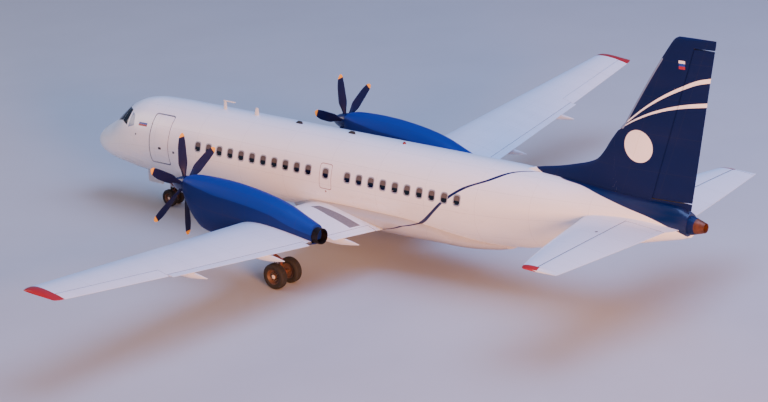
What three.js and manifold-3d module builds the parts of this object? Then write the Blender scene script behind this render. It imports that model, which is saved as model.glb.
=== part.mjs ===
// A twin-turboprop airliner of about 64 seats, parked on its wheels, at full size in millimetres.
// +Z is up, the nose points to -Y and the left (port) wing to +X. The origin is on the ground,
// midway between the nose tip and the rudder's trailing edge. A "station" is a distance aft of the nose tip.
import * as THREE from "three";
import { mergeVertices } from "three/addons/utils/BufferGeometryUtils.js";
import Module from "manifold-3d";

const wasm = await Module();
wasm.setup();

// Driving dimensions
const LENGTH = 26880;
const HALF_SPAN = 15000;
const HEIGHT = 9190;
const FUSELAGE_RADIUS = 1430;
const FUSELAGE_AXIS_Z = 2660;
const SEAM = 0.3; // between fixed pieces that touch
const CLEAR = 12; // around pieces that move
const DEG = Math.PI / 180;

const aft = (station) => station - LENGTH / 2;

// Colours, roughness and metalness
const paint = (color, roughness = 0.35, metalness = 0.0) =>
  new THREE.MeshStandardMaterial({ color, roughness, metalness });
const WHITE_PAINT = paint(0xf0eeee);
const BLUE_PAINT = paint(0x10307c);
const GREY_PAINT = paint(0xc9d3e4, 0.4);
const BLADE_PAINT = paint(0x1a2350, 0.45);
const GEAR_STEEL = paint(0x8b8f94, 0.5, 0.7);
const HOT_STEEL = paint(0x5b4a40, 0.55, 0.8);
const TYRE_RUBBER = paint(0x1c1b1b, 0.9);

// Solids

function solidOf(geometry) {
  const bare = geometry.index ? geometry.toNonIndexed() : geometry.clone();
  bare.deleteAttribute("normal");
  bare.deleteAttribute("uv");
  const merged = mergeVertices(bare, 1e-3);
  const made = new wasm.Manifold(
    new wasm.Mesh({
      numProp: 3,
      vertProperties: merged.attributes.position.array,
      triVerts: new Uint32Array(merged.index.array),
    }),
  );
  if (made.volume() >= 0) return made;
  const turned = merged.index.array.slice().reverse();
  merged.setIndex([...turned]);
  return solidOf(merged);
}

function geometryOf(solid) {
  const mesh = solid.getMesh();
  const points = new Float32Array(mesh.numVert * 3);
  for (let i = 0; i < mesh.numVert; i++) {
    points.set(mesh.vertProperties.subarray(i * mesh.numProp, i * mesh.numProp + 3), i * 3);
  }
  const indexed = new THREE.BufferGeometry()
    .setAttribute("position", new THREE.BufferAttribute(points, 3))
    .setIndex(new THREE.BufferAttribute(mesh.triVerts, 1));
  const flat = indexed.toNonIndexed();
  flat.computeVertexNormals();
  return flat;
}

// A skin over a row of closed rings with equal point counts, with a flat cap at each end.
// flatten gives a ring point's place in the plane of the caps. Each four-sided face is split
// along its shorter diagonal, so that a symmetrical body has symmetrical facets.
function loft(rings, flatten) {
  const count = rings[0].length;
  const points = rings.flat().flatMap((p) => [p.x, p.y, p.z]);
  const faces = [];
  for (let r = 0; r + 1 < rings.length; r++) {
    for (let i = 0; i < count; i++) {
      const j = (i + 1) % count;
      const [a, b, c, d] = [r * count + i, r * count + j, (r + 1) * count + i, (r + 1) * count + j];
      const across = rings[r][i].distanceTo(rings[r + 1][j]);
      const back = rings[r][j].distanceTo(rings[r + 1][i]);
      if (across < back) faces.push(a, b, d, a, d, c);
      else faces.push(a, b, c, b, d, c);
    }
  }
  for (const [ring, turn] of [[0, true], [rings.length - 1, false]]) {
    const outline = rings[ring].map(flatten);
    const anticlockwise = THREE.ShapeUtils.area(outline) > 0;
    for (const [a, b, c] of THREE.ShapeUtils.triangulateShape(outline, [])) {
      const base = ring * count;
      // The side faces above run anticlockwise round the first ring as flatten sees it.
      if (turn === anticlockwise) faces.push(base + c, base + b, base + a);
      else faces.push(base + a, base + b, base + c);
    }
  }
  const skin = new THREE.BufferGeometry();
  skin.setAttribute("position", new THREE.Float32BufferAttribute(points, 3));
  skin.setIndex(faces);
  return solidOf(skin);
}

const alongX = (p) => new THREE.Vector2(p.y, p.z);
const alongY = (p) => new THREE.Vector2(p.x, p.z);
const alongZ = (p) => new THREE.Vector2(p.x, p.y);

function box([x0, x1], [y0, y1], [z0, z1]) {
  const block = new THREE.BoxGeometry(x1 - x0, y1 - y0, z1 - z0);
  return solidOf(block.translate((x0 + x1) / 2, (y0 + y1) / 2, (z0 + z1) / 2));
}

// A round bar between two points; endRadius makes it a cone.
function bar(from, to, radius, sides = 16, endRadius = radius) {
  const along = new THREE.Vector3().subVectors(to, from);
  const rod = new THREE.CylinderGeometry(endRadius, radius, along.length(), sides);
  rod.translate(0, along.length() / 2, 0);
  rod.applyQuaternion(
    new THREE.Quaternion().setFromUnitVectors(new THREE.Vector3(0, 1, 0), along.clone().normalize()),
  );
  return solidOf(rod.translate(from.x, from.y, from.z));
}

// A turned piece. The profile is [distance along the axis, radius]; the axis is +X or +Y.
// Its first corner lies at the phase round the axis.
function turned(profile, axis, sides, phase = 0) {
  const outline = profile.map(([along, radius]) => new THREE.Vector2(radius, along));
  const body = new THREE.LatheGeometry(outline, sides, phase);
  if (axis === "x") body.rotateZ(-Math.PI / 2);
  return solidOf(body);
}

const joined = (solids) => solids.reduce((sum, next) => sum.add(next));
const at = (x, y, z) => new THREE.Vector3(x, y, z);

// Straight line through two [input, output] pairs
const line = ([a, fa], [b, fb]) => (t) => fa + ((fb - fa) * (t - a)) / (b - a);

// Fuselage: columns are station, half width, top z, z of the widest point, bottom z.
const FUSELAGE_SECTIONS = [
  [0, 70, 2130, 2060, 1990],
  [70, 225, 2285, 2060, 1850],
  [300, 465, 2500, 2075, 1690],
  [850, 780, 2840, 2160, 1535],
  [1300, 955, 3090, 2260, 1455],
  [1750, 1090, 3470, 2370, 1395],
  [2200, 1200, 3810, 2470, 1345],
  [2700, 1295, 3990, 2560, 1300],
  [3300, 1375, 4065, 2620, 1260],
  [4700, 1430, 4090, 2660, 1230],
  [8900, 1430, 4090, 2660, 1230],
  [16500, 1430, 4090, 2660, 1230],
  [17500, 1425, 4090, 2662, 1240],
  [19700, 1325, 4082, 2760, 1420],
  [21000, 1175, 4062, 2870, 1680],
  [22500, 930, 4000, 3005, 2030],
  [24000, 660, 3900, 3140, 2330],
  [25000, 490, 3850, 3210, 2590],
  [25600, 390, 3780, 3230, 2740],
  [25900, 330, 3620, 3210, 2850],
];
const RING_POINTS = 24;
const RADOME_AFT = 850;
const FRONT_AFT = 8900;
const MID_AFT = 16500;
const TAIL_AFT = 25900;

function fuselageRing([station, halfWidth, top, mid, bottom], grow = 0) {
  return Array.from({ length: RING_POINTS }, (_, i) => {
    const angle = (2 * Math.PI * i) / RING_POINTS;
    const up = Math.sin(angle);
    const height = up > 0 ? top - mid : mid - bottom;
    return at((halfWidth + grow) * Math.cos(angle), aft(station), mid + (height + grow) * up);
  });
}

// Fuselage between two stations, grown outwards where another piece is cut by it
function fuselageBetween(from, to, grow = 0) {
  const rows = FUSELAGE_SECTIONS.filter(([station]) => station >= from && station <= to).map((row) => [...row]);
  if (from > 0) rows[0][0] += SEAM;
  return loft(rows.map((row) => fuselageRing(row, grow)), alongY);
}

// The whole of it, grown a little, so that what is cut by it keeps a seam
const fuselageRoom = loft(FUSELAGE_SECTIONS.map((row) => fuselageRing(row, SEAM)), alongY);

// The empty tail cone behind the cabin's rear bulkhead, inside the skin and its frames.
// It is open at its aft end, where the tail nozzle closes it.
const TAIL_CONE = { from: 19000, wall: 80 };

function tailConeHollow() {
  const behindBulkhead = FUSELAGE_SECTIONS.filter(([station]) => station > TAIL_CONE.from);
  const before = FUSELAGE_SECTIONS[FUSELAGE_SECTIONS.length - behindBulkhead.length - 1];
  const next = behindBulkhead[0];
  const bulkhead = before.map((value, i) => line([before[0], value], [next[0], next[i]])(TAIL_CONE.from));
  const end = [TAIL_AFT + CLEAR, ...behindBulkhead.at(-1).slice(1)];
  return loft([bulkhead, ...behindBulkhead, end].map((row) => fuselageRing(row, -TAIL_CONE.wall)), alongY);
}

// Wing: straight edges from the aircraft's centreline to the tip, set at an angle nose up
const wingLeStation = line([0, 10950], [HALF_SPAN, 12050]);
const wingTeStation = line([0, 14760], [HALF_SPAN, 13500]);
const flapTeStation = line([1500, 14620], [10600, 14010]);
const wingLeZ = line([0, 1490], [HALF_SPAN, 3220]);
const wingThickness = line([0, 0.16], [HALF_SPAN, 0.12]);
const WING_INCIDENCE = 2.5 * DEG;
const WING_CAMBER = 0.02;
const CAMBER_PEAK = 0.4;

const halfThickness = (u, share) =>
  5 * share * (0.2969 * Math.sqrt(u) - 0.126 * u - 0.3516 * u ** 2 + 0.2843 * u ** 3 - 0.1036 * u ** 4);
const camber = (u) =>
  u < CAMBER_PEAK
    ? (WING_CAMBER / CAMBER_PEAK ** 2) * (2 * CAMBER_PEAK * u - u * u)
    : (WING_CAMBER / (1 - CAMBER_PEAK) ** 2) * (1 - 2 * CAMBER_PEAK + 2 * CAMBER_PEAK * u - u * u);

const wingChord = (x) => wingTeStation(x) - wingLeStation(x);
const upper = (x, u) => wingChord(x) * (camber(u) + halfThickness(u, wingThickness(x)));
const lower = (x, u) => wingChord(x) * (camber(u) - halfThickness(u, wingThickness(x)));

// A place on the wing: x across, u as a share of the chord, v in millimetres square to the chord
function wingPoint(x, u, v) {
  const along = u * wingChord(x);
  return at(
    x,
    aft(wingLeStation(x)) + along * Math.cos(WING_INCIDENCE) + v * Math.sin(WING_INCIDENCE),
    wingLeZ(x) - along * Math.sin(WING_INCIDENCE) + v * Math.cos(WING_INCIDENCE),
  );
}

const CHORD_SHARES = [0, 0.015, 0.06, 0.14, 0.26, 0.42, 0.58, 0.72, 0.87, 1];
const TE_HALF = 3; // half the trailing edge's thickness

function wingRing(x, chordScale = 1, thicknessScale = 1, grow = 0) {
  const edge = grow / wingChord(x);
  const spread = (u) => (u === 0 ? -edge : u === 1 ? 1 + edge : u);
  const over = CHORD_SHARES.toReversed().map((u) => [spread(u), upper(x, u) + TE_HALF * u + grow * (u > 0)]);
  const under = CHORD_SHARES.slice(1).map((u) => [spread(u), lower(x, u) - TE_HALF * u - grow]);
  const middle = 0.45;
  return [...over, ...under].map(([u, v]) =>
    wingPoint(x, middle + (u - middle) * chordScale, v * thicknessScale),
  );
}

const WING_ROOT_X = 1000;
const WING_RINGS = [
  [WING_ROOT_X, 1, 1],
  [14740, 1, 1],
  [14900, 0.97, 0.8],
  [HALF_SPAN, 0.88, 0.35],
];

// A strip of the wing between two spanwise places, given its outline in [u, v] at any x
function wingStrip(from, to, outline) {
  return loft([from, to].map((x) => outline(x).map(([u, v]) => wingPoint(x, u, v))), alongX);
}

// Moving surfaces on the wing. Flaps turn about a line under the wing, at the foot of their fairings.
const FLAP_NOSE = 0.745;
const shroudEnd = line([1500, 0.885], [10600, 0.945]);
const SHROUD_SKIN = 18;
const FAR = 600;
const FLAP_SPANS = { inner: [1715, 3700], outer: [4780, 10610] };
const FLAP_END_GAP = 15;
const AILERON_SPAN = [10650, 14640];
const AILERON_HINGES = [11200, 12650, 14100];
const FAIRINGS = { inner: [3130], outer: [6450, 9700] };

const shroudUnder = (x, u) => upper(x, u) - SHROUD_SKIN;

function coveOutline(x) {
  const cove = FLAP_NOSE - 0.02;
  const end = shroudEnd(x);
  return [
    [cove, -FAR],
    [cove, shroudUnder(x, cove)],
    [(cove + end) / 2, shroudUnder(x, (cove + end) / 2)],
    [end, shroudUnder(x, end)],
    [end, FAR],
    [1.3, FAR],
    [1.3, -FAR],
  ];
}

function flapOutline(x) {
  const gap = CLEAR / wingChord(x);
  const end = shroudEnd(x);
  const te = (flapTeStation(x) - wingLeStation(x)) / wingChord(x);
  return [
    [FLAP_NOSE + 0.045, shroudUnder(x, FLAP_NOSE + 0.045) - CLEAR - 6],
    [end + gap, shroudUnder(x, end + gap) - CLEAR],
    [end + gap, upper(x, end + gap)],
    [te, TE_HALF],
    [te, -TE_HALF],
    [end, lower(x, end)],
    [FLAP_NOSE + 0.03, lower(x, FLAP_NOSE + 0.03)],
    [FLAP_NOSE + 0.006, lower(x, FLAP_NOSE) * 0.45],
    [FLAP_NOSE + 0.012, shroudUnder(x, FLAP_NOSE) * 0.5],
  ];
}

// The flaps' hinge line hangs below the wing, less towards the tip.
const flapDropScale = line([0, 1], [HALF_SPAN, 0.66]);
const FLAP_AXIS_SHARE = 0.74;
const FLAP_AXIS_DROP = 330;
const flapAxisPoint = (x) => wingPoint(x, FLAP_AXIS_SHARE, -FLAP_AXIS_DROP * flapDropScale(x));
const aileronHingeStation = line([AILERON_SPAN[0], 13400], [AILERON_SPAN[1], 13140]);

function aileronAxisPoint(x) {
  const u = (aileronHingeStation(x) - wingLeStation(x)) / wingChord(x);
  return wingPoint(x, u, camber(u) * wingChord(x));
}

const direction = (pointAt, from, to) => new THREE.Vector3().subVectors(pointAt(to), pointAt(from)).normalize();
const flapAxis = direction(flapAxisPoint, 2000, 10000);

// Keeps what lies between two planes square to an axis.
function between(solid, axis, from, to) {
  const n = [axis.x, axis.y, axis.z];
  const back = [-axis.x, -axis.y, -axis.z];
  return solid.trimByPlane(n, axis.dot(from)).trimByPlane(back, -axis.dot(to));
}

// A flap track fairing: a slim pod under the wing. Columns are share of its length, half width,
// half height.
const FAIRING_SECTIONS = [
  [0, 12, 12],
  [0.12, 50, 66],
  [0.34, 84, 140],
  [0.6, 78, 150],
  [0.82, 48, 96],
  [1, 10, 14],
];
const FAIRING_FORWARD = 1050;
const FAIRING_AFT = 1560;
const FAIRING_LIFT = 124; // of its middle over the hinge
const FAIRING_SIDES = 8;

function fairing(x) {
  const axis = flapAxisPoint(x);
  const size = flapDropScale(x);
  const rings = FAIRING_SECTIONS.map(([share, halfWidth, halfHeight]) => {
    const y = axis.y + (-FAIRING_FORWARD + share * (FAIRING_FORWARD + FAIRING_AFT)) * size;
    return Array.from({ length: FAIRING_SIDES }, (_, i) => {
      const angle = (2 * Math.PI * i) / FAIRING_SIDES;
      const height = (FAIRING_LIFT + halfHeight * Math.sin(angle)) * size;
      return at(x + halfWidth * Math.cos(angle), y, axis.z + height);
    });
  });
  return loft(rings, alongY);
}

// A hinge lug on the fixed side, its slot and its pin on the moving side. lugReach is how far the
// lug runs forward from the axis, and slotRoom how far the slot is open forward, above and below.
const HINGES = {
  flap: { lugReach: 260, slotRoom: 70 },
  aileron: { lugReach: 150, slotRoom: 200 },
  rudder: { lugReach: 190, slotRoom: 250 },
  elevator: { lugReach: 170, slotRoom: 200 },
};
const FORWARD = at(0, -1, 0);
const LUG_HALF = 15;
const LUG_RADIUS = 28;
const PIN_RADIUS = 12;
const BORE_RADIUS = 13.05;
const SLOT_HALF = 22;
const SLOT_BACK = 44;
const PIN_SEAT = 6; // the pin's length in each wall of the slot
const PIN_SIDES = 8; // a bore's flats clear the pin's corners at any angle

function plateAt(point, axis, forward, [f0, f1], halfHeight, halfAcross) {
  const up = new THREE.Vector3().crossVectors(axis, forward).normalize();
  const block = new THREE.BoxGeometry(2 * halfAcross, f1 - f0, 2 * halfHeight).translate(0, (f0 + f1) / 2, 0);
  const turn = new THREE.Matrix4().makeBasis(axis, forward, up);
  return solidOf(block.applyMatrix4(turn).translate(point.x, point.y, point.z));
}

function addHinge(pair, point, axis, { lugReach, slotRoom }) {
  const forward = FORWARD.clone().addScaledVector(axis, -FORWARD.dot(axis)).normalize();
  const ends = (half) => [-half, half].map((d) => point.clone().addScaledVector(axis, d));
  const lug = plateAt(point, axis, forward, [0, lugReach], LUG_RADIUS * 0.8, LUG_HALF).add(
    bar(...ends(LUG_HALF), LUG_RADIUS, PIN_SIDES),
  );
  const bore = bar(...ends(SLOT_HALF + 20), BORE_RADIUS, PIN_SIDES);
  const slot = plateAt(point, axis, forward, [-SLOT_BACK, slotRoom], slotRoom, SLOT_HALF);
  const pin = bar(...ends(SLOT_HALF + PIN_SEAT), PIN_RADIUS, PIN_SIDES);
  pair.fixed = pair.fixed.add(lug).subtract(bore);
  pair.moving = pair.moving.subtract(slot).add(pin);
}

const HINGE_SIDES = 8;
const ACROSS = { x: at(1, 0, 0), z: at(0, 0, 1) };

// Everything aft of the line from a to b, for three metres; lateral points through the surface.
function behind(a, b, lateral) {
  const corner = (p, side, back) => p.clone().addScaledVector(lateral, side).add(at(0, back, 0));
  const ring = (p) => [corner(p, -1000, 0), corner(p, 1000, 0), corner(p, 1000, 3000), corner(p, -1000, 3000)];
  return loft([ring(a), ring(b)], lateral.z > 0.5 ? alongX : alongZ);
}

// Cuts a control surface out of a whole one. The hinge runs from a to b, and radius gives the
// half thickness there. The surface's two ends are at low and high along the span, and the gaps
// past them are wider where a raked hinge lifts or lowers the surface's corners as it turns.
function controlSurface(whole, hingeAt, [low, high], radiusAt, lateral, slab, gaps = [CLEAR, CLEAR]) {
  const [a, b] = [low - gaps[0], high + gaps[1]];
  // The cove's flats clear the nose's corners at any angle.
  const room = (place) => (radiusAt(place) + CLEAR) / Math.cos(Math.PI / HINGE_SIDES);
  const coveNose = slab(bar(hingeAt(a), hingeAt(b), room(a), HINGE_SIDES, room(b)), a, b);
  const nose = slab(bar(hingeAt(low), hingeAt(high), radiusAt(low), HINGE_SIDES, radiusAt(high)), low, high);
  return {
    fixed: whole.subtract(behind(hingeAt(a), hingeAt(b), lateral).add(coveNose)),
    moving: whole.intersect(behind(hingeAt(low), hingeAt(high), lateral)).add(nose),
  };
}

const slabX = (solid, a, b) => solid.trimByPlane([1, 0, 0], a).trimByPlane([-1, 0, 0], -b);
const slabZ = (solid, a, b) => solid.trimByPlane([0, 0, 1], a).trimByPlane([0, 0, -1], -b);

// Nacelle: columns are station, half width, top z, z of the widest point, bottom z.
const NACELLE_X = 4200;
const NACELLE_SECTIONS = [
  [8520, 330, 3140, 2820, 2450],
  [8720, 430, 3200, 2700, 2080],
  [9000, 510, 3235, 2560, 1700],
  [9350, 560, 3255, 2420, 1420],
  [9900, 595, 3262, 2340, 1330],
  [10600, 605, 3240, 2300, 1300],
  [11500, 600, 3150, 2260, 1310],
  [12300, 570, 3020, 2230, 1360],
  [13000, 510, 2840, 2190, 1470],
  [13600, 420, 2620, 2130, 1620],
  [14200, 305, 2410, 2080, 1765],
];
const COWL_AFT = 10600;
const NACELLE_AFT = 14200;
const NACELLE_POINTS = 20;

function nacelleRing([station, halfWidth, top, mid, bottom]) {
  return Array.from({ length: NACELLE_POINTS }, (_, i) => {
    const angle = (2 * Math.PI * i) / NACELLE_POINTS;
    const up = Math.sin(angle);
    const across = Math.cos(angle);
    // A squarer section than an ellipse: the exponent is under 1.
    const square = 0.82;
    const height = up > 0 ? top - mid : mid - bottom;
    return at(
      NACELLE_X + halfWidth * Math.sign(across) * Math.abs(across) ** square,
      aft(station),
      mid + height * Math.sign(up) * Math.abs(up) ** square,
    );
  });
}

function nacelleBetween(from, to) {
  const rows = NACELLE_SECTIONS.filter(([station]) => station >= from && station <= to).map((row) => [...row]);
  if (from > NACELLE_SECTIONS[0][0]) rows[0][0] += SEAM;
  return loft(rows.map(nacelleRing), alongY);
}

// Propeller
const HUB_STATION = 8340;
const HUB_Z = 2820;
const PROPELLER_RADIUS = 1800;
const BLADES = 6;
const SPINNER_RADIUS = 315;
const SHAFT_RADIUS = 70;
const SHAFT_BORE = 70.7;
const ROUND_SIDES = 16;
const BEARING_SIDES = 24; // a bore's flats clear the shaft's corners at any angle
const BLADE_PHASE = { left: 0, right: 6 }; // degrees from one blade upright, seen from behind

// Blade: columns are radius, chord, thickness, pitch in degrees from the plane of rotation, sweep aft of chord.
const BLADE_SECTIONS = [
  [230, 120, 110, 40, 0],
  [400, 160, 84, 34, 0],
  [800, 340, 38, 20, 8],
  [1300, 335, 22, 9, 0],
  [1650, 255, 13, 4, -26],
  [PROPELLER_RADIUS, 120, 7, 2, -58],
];
const BLADE_POINTS = 6;
const BLADE_ROOT = { from: 60, to: 330, radius: 68, hole: 88, sides: 8 };
const HUB = { from: -110, to: 100, radius: 165, shaftTo: 375 }; // along the shaft from the blades' plane

// One blade pointing up, turning about the Y axis
function blade() {
  const rings = BLADE_SECTIONS.map(([radius, chord, thickness, pitch, sweep]) =>
    Array.from({ length: BLADE_POINTS }, (_, i) => {
      const angle = (2 * Math.PI * i) / BLADE_POINTS;
      const along = (chord / 2) * Math.cos(angle) + sweep;
      const through = (thickness / 2) * Math.sin(angle);
      const turn = -pitch * DEG;
      return at(
        along * Math.cos(turn) - through * Math.sin(turn),
        along * Math.sin(turn) + through * Math.cos(turn),
        radius,
      );
    }),
  );
  return loft(rings, alongZ);
}

function bladesAndHub() {
  const root = bar(at(0, 0, BLADE_ROOT.from), at(0, 0, BLADE_ROOT.to), BLADE_ROOT.radius, BLADE_ROOT.sides);
  const arm = blade().add(root);
  const arms = Array.from({ length: BLADES }, (_, i) => arm.rotate([0, (360 / BLADES) * i, 0]));
  const barrel = bar(at(0, HUB.from, 0), at(0, HUB.to, 0), HUB.radius, ROUND_SIDES);
  const shaft = bar(at(0, HUB.to - 10, 0), at(0, HUB.shaftTo, 0), SHAFT_RADIUS, BEARING_SIDES);
  return joined([...arms, barrel, shaft]);
}

function spinner() {
  const shell = turned(
    [
      [-560, 0],
      [-535, 75],
      [-430, 178],
      [-240, 262],
      [60, SPINNER_RADIUS],
      [150, SPINNER_RADIUS + 4],
      [150, SHAFT_RADIUS + 10],
      [HUB.to + SEAM, SHAFT_RADIUS + 10],
      [HUB.to + SEAM, SPINNER_RADIUS - 18],
      [60, SPINNER_RADIUS - 18],
      [-230, 244],
      [-410, 150],
      [-470, 0],
    ],
    "y",
    ROUND_SIDES,
  );
  const holes = Array.from({ length: BLADES }, (_, i) =>
    bar(at(0, 0, HUB.radius - 15), at(0, 0, SPINNER_RADIUS + 100), BLADE_ROOT.hole, BLADE_ROOT.sides)
      .rotate([0, (360 / BLADES) * i, 0]),
  );
  return shell.subtract(joined(holes));
}

// Wheels: sizes of the tyres, and of the axles that carry them
const MAIN = { station: 12580, tyreRadius: 440, tyreWidth: 300, offset: 360, axleRadius: 49.2, boreRadius: 50 };
const NOSE = { station: 3450, tyreRadius: 320, tyreWidth: 180, offset: 195, axleRadius: 34.4, boreRadius: 35 };
const NOSE_STEER_STATION = 3370;
const TYRE_SIDES = 24;
const TYRE_PHASE = Math.PI / TYRE_SIDES; // a flat, not a corner, is at the bottom

// The flats of the tread are as far from the axle as the real round tread.
function tyre({ tyreRadius, tyreWidth: w }) {
  const bead = tyreRadius * 0.58;
  const r = tyreRadius / Math.cos(Math.PI / TYRE_SIDES);
  return turned(
    [
      [-w * 0.36, bead],
      [-w * 0.5, r * 0.76],
      [-w * 0.42, r * 0.94],
      [-w * 0.22, r],
      [w * 0.22, r],
      [w * 0.42, r * 0.94],
      [w * 0.5, r * 0.76],
      [w * 0.36, bead],
      [-w * 0.36, bead],
    ],
    "x",
    TYRE_SIDES,
    TYRE_PHASE,
  );
}

// Both rims of a pair with the axle that joins them, as one piece
function wheelset({ tyreRadius: r, tyreWidth: w, offset, axleRadius }) {
  const seat = r * 0.58 - SEAM * 2;
  const disc = turned(
    [
      [-w * 0.2, 0],
      [-w * 0.2, r * 0.24],
      [-w * 0.38, seat],
      [w * 0.38, seat],
      [w * 0.08, r * 0.44],
      [w * 0.08, r * 0.2],
      [w * 0.3, r * 0.14],
      [w * 0.3, 0],
    ],
    "x",
    TYRE_SIDES,
    TYRE_PHASE,
  );
  const rims = [disc.translate([offset, 0, 0]), disc.mirror([1, 0, 0]).translate([-offset, 0, 0])];
  const axle = bar(at(-offset, 0, 0), at(offset, 0, 0), axleRadius, BEARING_SIDES);
  return joined([...rims, axle]);
}

// The scene graph
const airliner = new THREE.Group();

function addMesh(name, solid, material, place = at(0, 0, 0), side = 1) {
  const mesh = new THREE.Mesh(geometryOf(solid), material);
  mesh.name = name;
  mesh.position.copy(place);
  mesh.scale.x = side;
  airliner.add(mesh);
  return mesh;
}

// Adds a left piece, modelled where it is, and its mirror image on the right.
function addPair(name, solid, material) {
  addMesh(`${name}_left`, solid, material);
  addMesh(`${name}_right`, solid, material, at(0, 0, 0), -1);
}

// Passenger door: a panel of the curved wall on the left. It stays square to the side as a
// goose-necked arm swings it outwards and then forwards.
const DOOR = { from: 3860, to: 4800, low: -22 * DEG, high: 52 * DEG, thickness: 40, gap: 12 };
const DOORWAY_INNER_X = 640;
const ARM = { x: 1280, station: 3925, z: 2660, reach: 500, outward: 70, half: 18, halfHeight: 30 };
const ARM_ELBOW = { x: 215, y: -30 }; // from the pivot, when fully open
const ARM_PAST_PIN = 6;
const ARM_SWING = 147 * DEG;
const FORK_PLATE = 16;
const FORK_GAP = 0.4;

function wallSector([r0, r1], [a0, a1], [from, to]) {
  const steps = 10;
  const arc = (radius, reverse) =>
    Array.from({ length: steps + 1 }, (_, i) => {
      const angle = a0 + ((a1 - a0) * (reverse ? steps - i : i)) / steps;
      return [radius * Math.cos(angle), FUSELAGE_AXIS_Z + radius * Math.sin(angle)];
    });
  const outline = [...arc(r0, false), ...arc(r1, true)];
  return loft([from, to].map((s) => outline.map(([x, z]) => at(x, aft(s), z))), alongY);
}

const gapAngle = DOOR.gap / FUSELAGE_RADIUS;
const doorZ = [DOOR.low, DOOR.high].map((angle) => FUSELAGE_AXIS_Z + FUSELAGE_RADIUS * Math.sin(angle));
const doorway = wallSector(
  [FUSELAGE_RADIUS - 260, FUSELAGE_RADIUS + 80],
  [DOOR.low, DOOR.high],
  [DOOR.from, DOOR.to],
).add(box([DOORWAY_INNER_X, 1300], [aft(DOOR.from), aft(DOOR.to)], [doorZ[0] + 60, doorZ[1] - 60]));

// A fork of two plates around the arm's eye, from the pivot towards its carrier
function fork(pivot, toX, toY) {
  const wide = ARM.half + 14;
  const xs = [Math.min(pivot.x - wide, toX), Math.max(pivot.x + wide, toX)];
  const ys = [Math.min(pivot.y - wide, toY), Math.max(pivot.y + wide, toY)];
  return joined(
    [1, -1].map((side) => {
      const inner = ARM.halfHeight + FORK_GAP;
      const zs = [ARM.z + side * inner, ARM.z + side * (inner + FORK_PLATE)].sort((a, b) => a - b);
      return box(xs, ys, zs);
    }),
  );
}

const armPivot = at(ARM.x, aft(ARM.station), ARM.z);
const doorPivot = at(ARM.x + ARM.outward, aft(ARM.station) + ARM.reach, ARM.z);

// The arm bends at an elbow that clears the door post when the door is open. It is a flat
// bar of even width along pivot, elbow and door pivot, mitred at the elbow.
function doorArm() {
  const bend = new THREE.Vector2(ARM_ELBOW.x, ARM_ELBOW.y).rotateAround(new THREE.Vector2(), ARM_SWING);
  const start = new THREE.Vector2();
  const end = new THREE.Vector2(ARM.outward, ARM.reach);
  const [first, second] = [bend.clone().normalize(), end.clone().sub(bend).normalize()];
  const square = (v) => new THREE.Vector2(v.y, -v.x);
  const mitre = square(first).add(square(second)).normalize();
  const width = ARM.half / mitre.dot(square(first));
  const off = (p, along, reach, side) =>
    p.clone().addScaledVector(along, reach).addScaledVector(square(along), side * ARM.half);
  const pastPin = ARM.half + ARM_PAST_PIN;
  const outline = [
    off(start, first, -pastPin, 1),
    bend.clone().addScaledVector(mitre, width),
    off(end, second, pastPin, 1),
    off(end, second, pastPin, -1),
    bend.clone().addScaledVector(mitre, -width),
    off(start, first, -pastPin, -1),
  ];
  const shape = new THREE.Shape(outline);
  for (const p of [start, end]) {
    const corners = Array.from({ length: PIN_SIDES }, (_, i) => {
      const turn = (2 * Math.PI * i) / PIN_SIDES;
      return new THREE.Vector2(BORE_RADIUS, 0).rotateAround(new THREE.Vector2(), turn).add(p);
    });
    shape.holes.push(new THREE.Path(corners));
  }
  const plate = new THREE.ExtrudeGeometry(shape, { depth: 2 * ARM.halfHeight, bevelEnabled: false });
  return solidOf(plate.translate(armPivot.x, armPivot.y, ARM.z - ARM.halfHeight));
}

// Jacking pads: short round feet with a flat underside
const PAD = { radius: 60, sides: 16 };
const NOSE_PAD = { x: 0, station: 5300, foot: 1200, top: 1300 };
const WING_PAD = { x: 5450, station: 12450, foot: 1860, top: 2040 };
const padAt = ({ x, station, foot, top }) =>
  bar(at(x, aft(station), foot), at(x, aft(station), top), PAD.radius, PAD.sides);

// Undercarriage bays
const NOSE_BAY = { half: 290, from: 2480, to: 3640, roof: 1830 };
const MAIN_BAY = { half: 330, from: 11400, to: 12800, roof: 1700 };

function fuselage() {
  const front = fuselageBetween(RADOME_AFT, FRONT_AFT);
  const noseBay = box(
    [-NOSE_BAY.half, NOSE_BAY.half], [aft(NOSE_BAY.from), aft(NOSE_BAY.to)], [0, NOSE_BAY.roof],
  );
  const panel = front.intersect(
    wallSector(
      [FUSELAGE_RADIUS - DOOR.thickness, FUSELAGE_RADIUS + 80],
      [DOOR.low + gapAngle, DOOR.high - gapAngle],
      [DOOR.from + DOOR.gap, DOOR.to - DOOR.gap],
    ),
  );
  const pinHalf = ARM.halfHeight + PIN_SEAT;
  const pins = [armPivot, doorPivot].map((p) =>
    bar(at(p.x, p.y, ARM.z - pinHalf), at(p.x, p.y, ARM.z + pinHalf), PIN_RADIUS, PIN_SIDES));
  const postFork = fork(armPivot, armPivot.x, aft(DOOR.from) - 20).add(pins[0]);
  const doorFork = fork(doorPivot, FUSELAGE_RADIUS - DOOR.thickness + 8, doorPivot.y).add(pins[1]);
  const shell = joined([front.subtract(doorway).subtract(noseBay), postFork, padAt(NOSE_PAD)]);
  addMesh("radome", fuselageBetween(0, RADOME_AFT), WHITE_PAINT);
  addMesh("fuselage_front", shell, WHITE_PAINT);
  addMesh("passenger_door", panel.add(doorFork), WHITE_PAINT);
  addMesh("passenger_door_arm", doorArm(), GEAR_STEEL);
  addMesh("fuselage_rear", fuselageBetween(MID_AFT, TAIL_AFT).subtract(tailConeHollow()), WHITE_PAINT);
}

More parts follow.
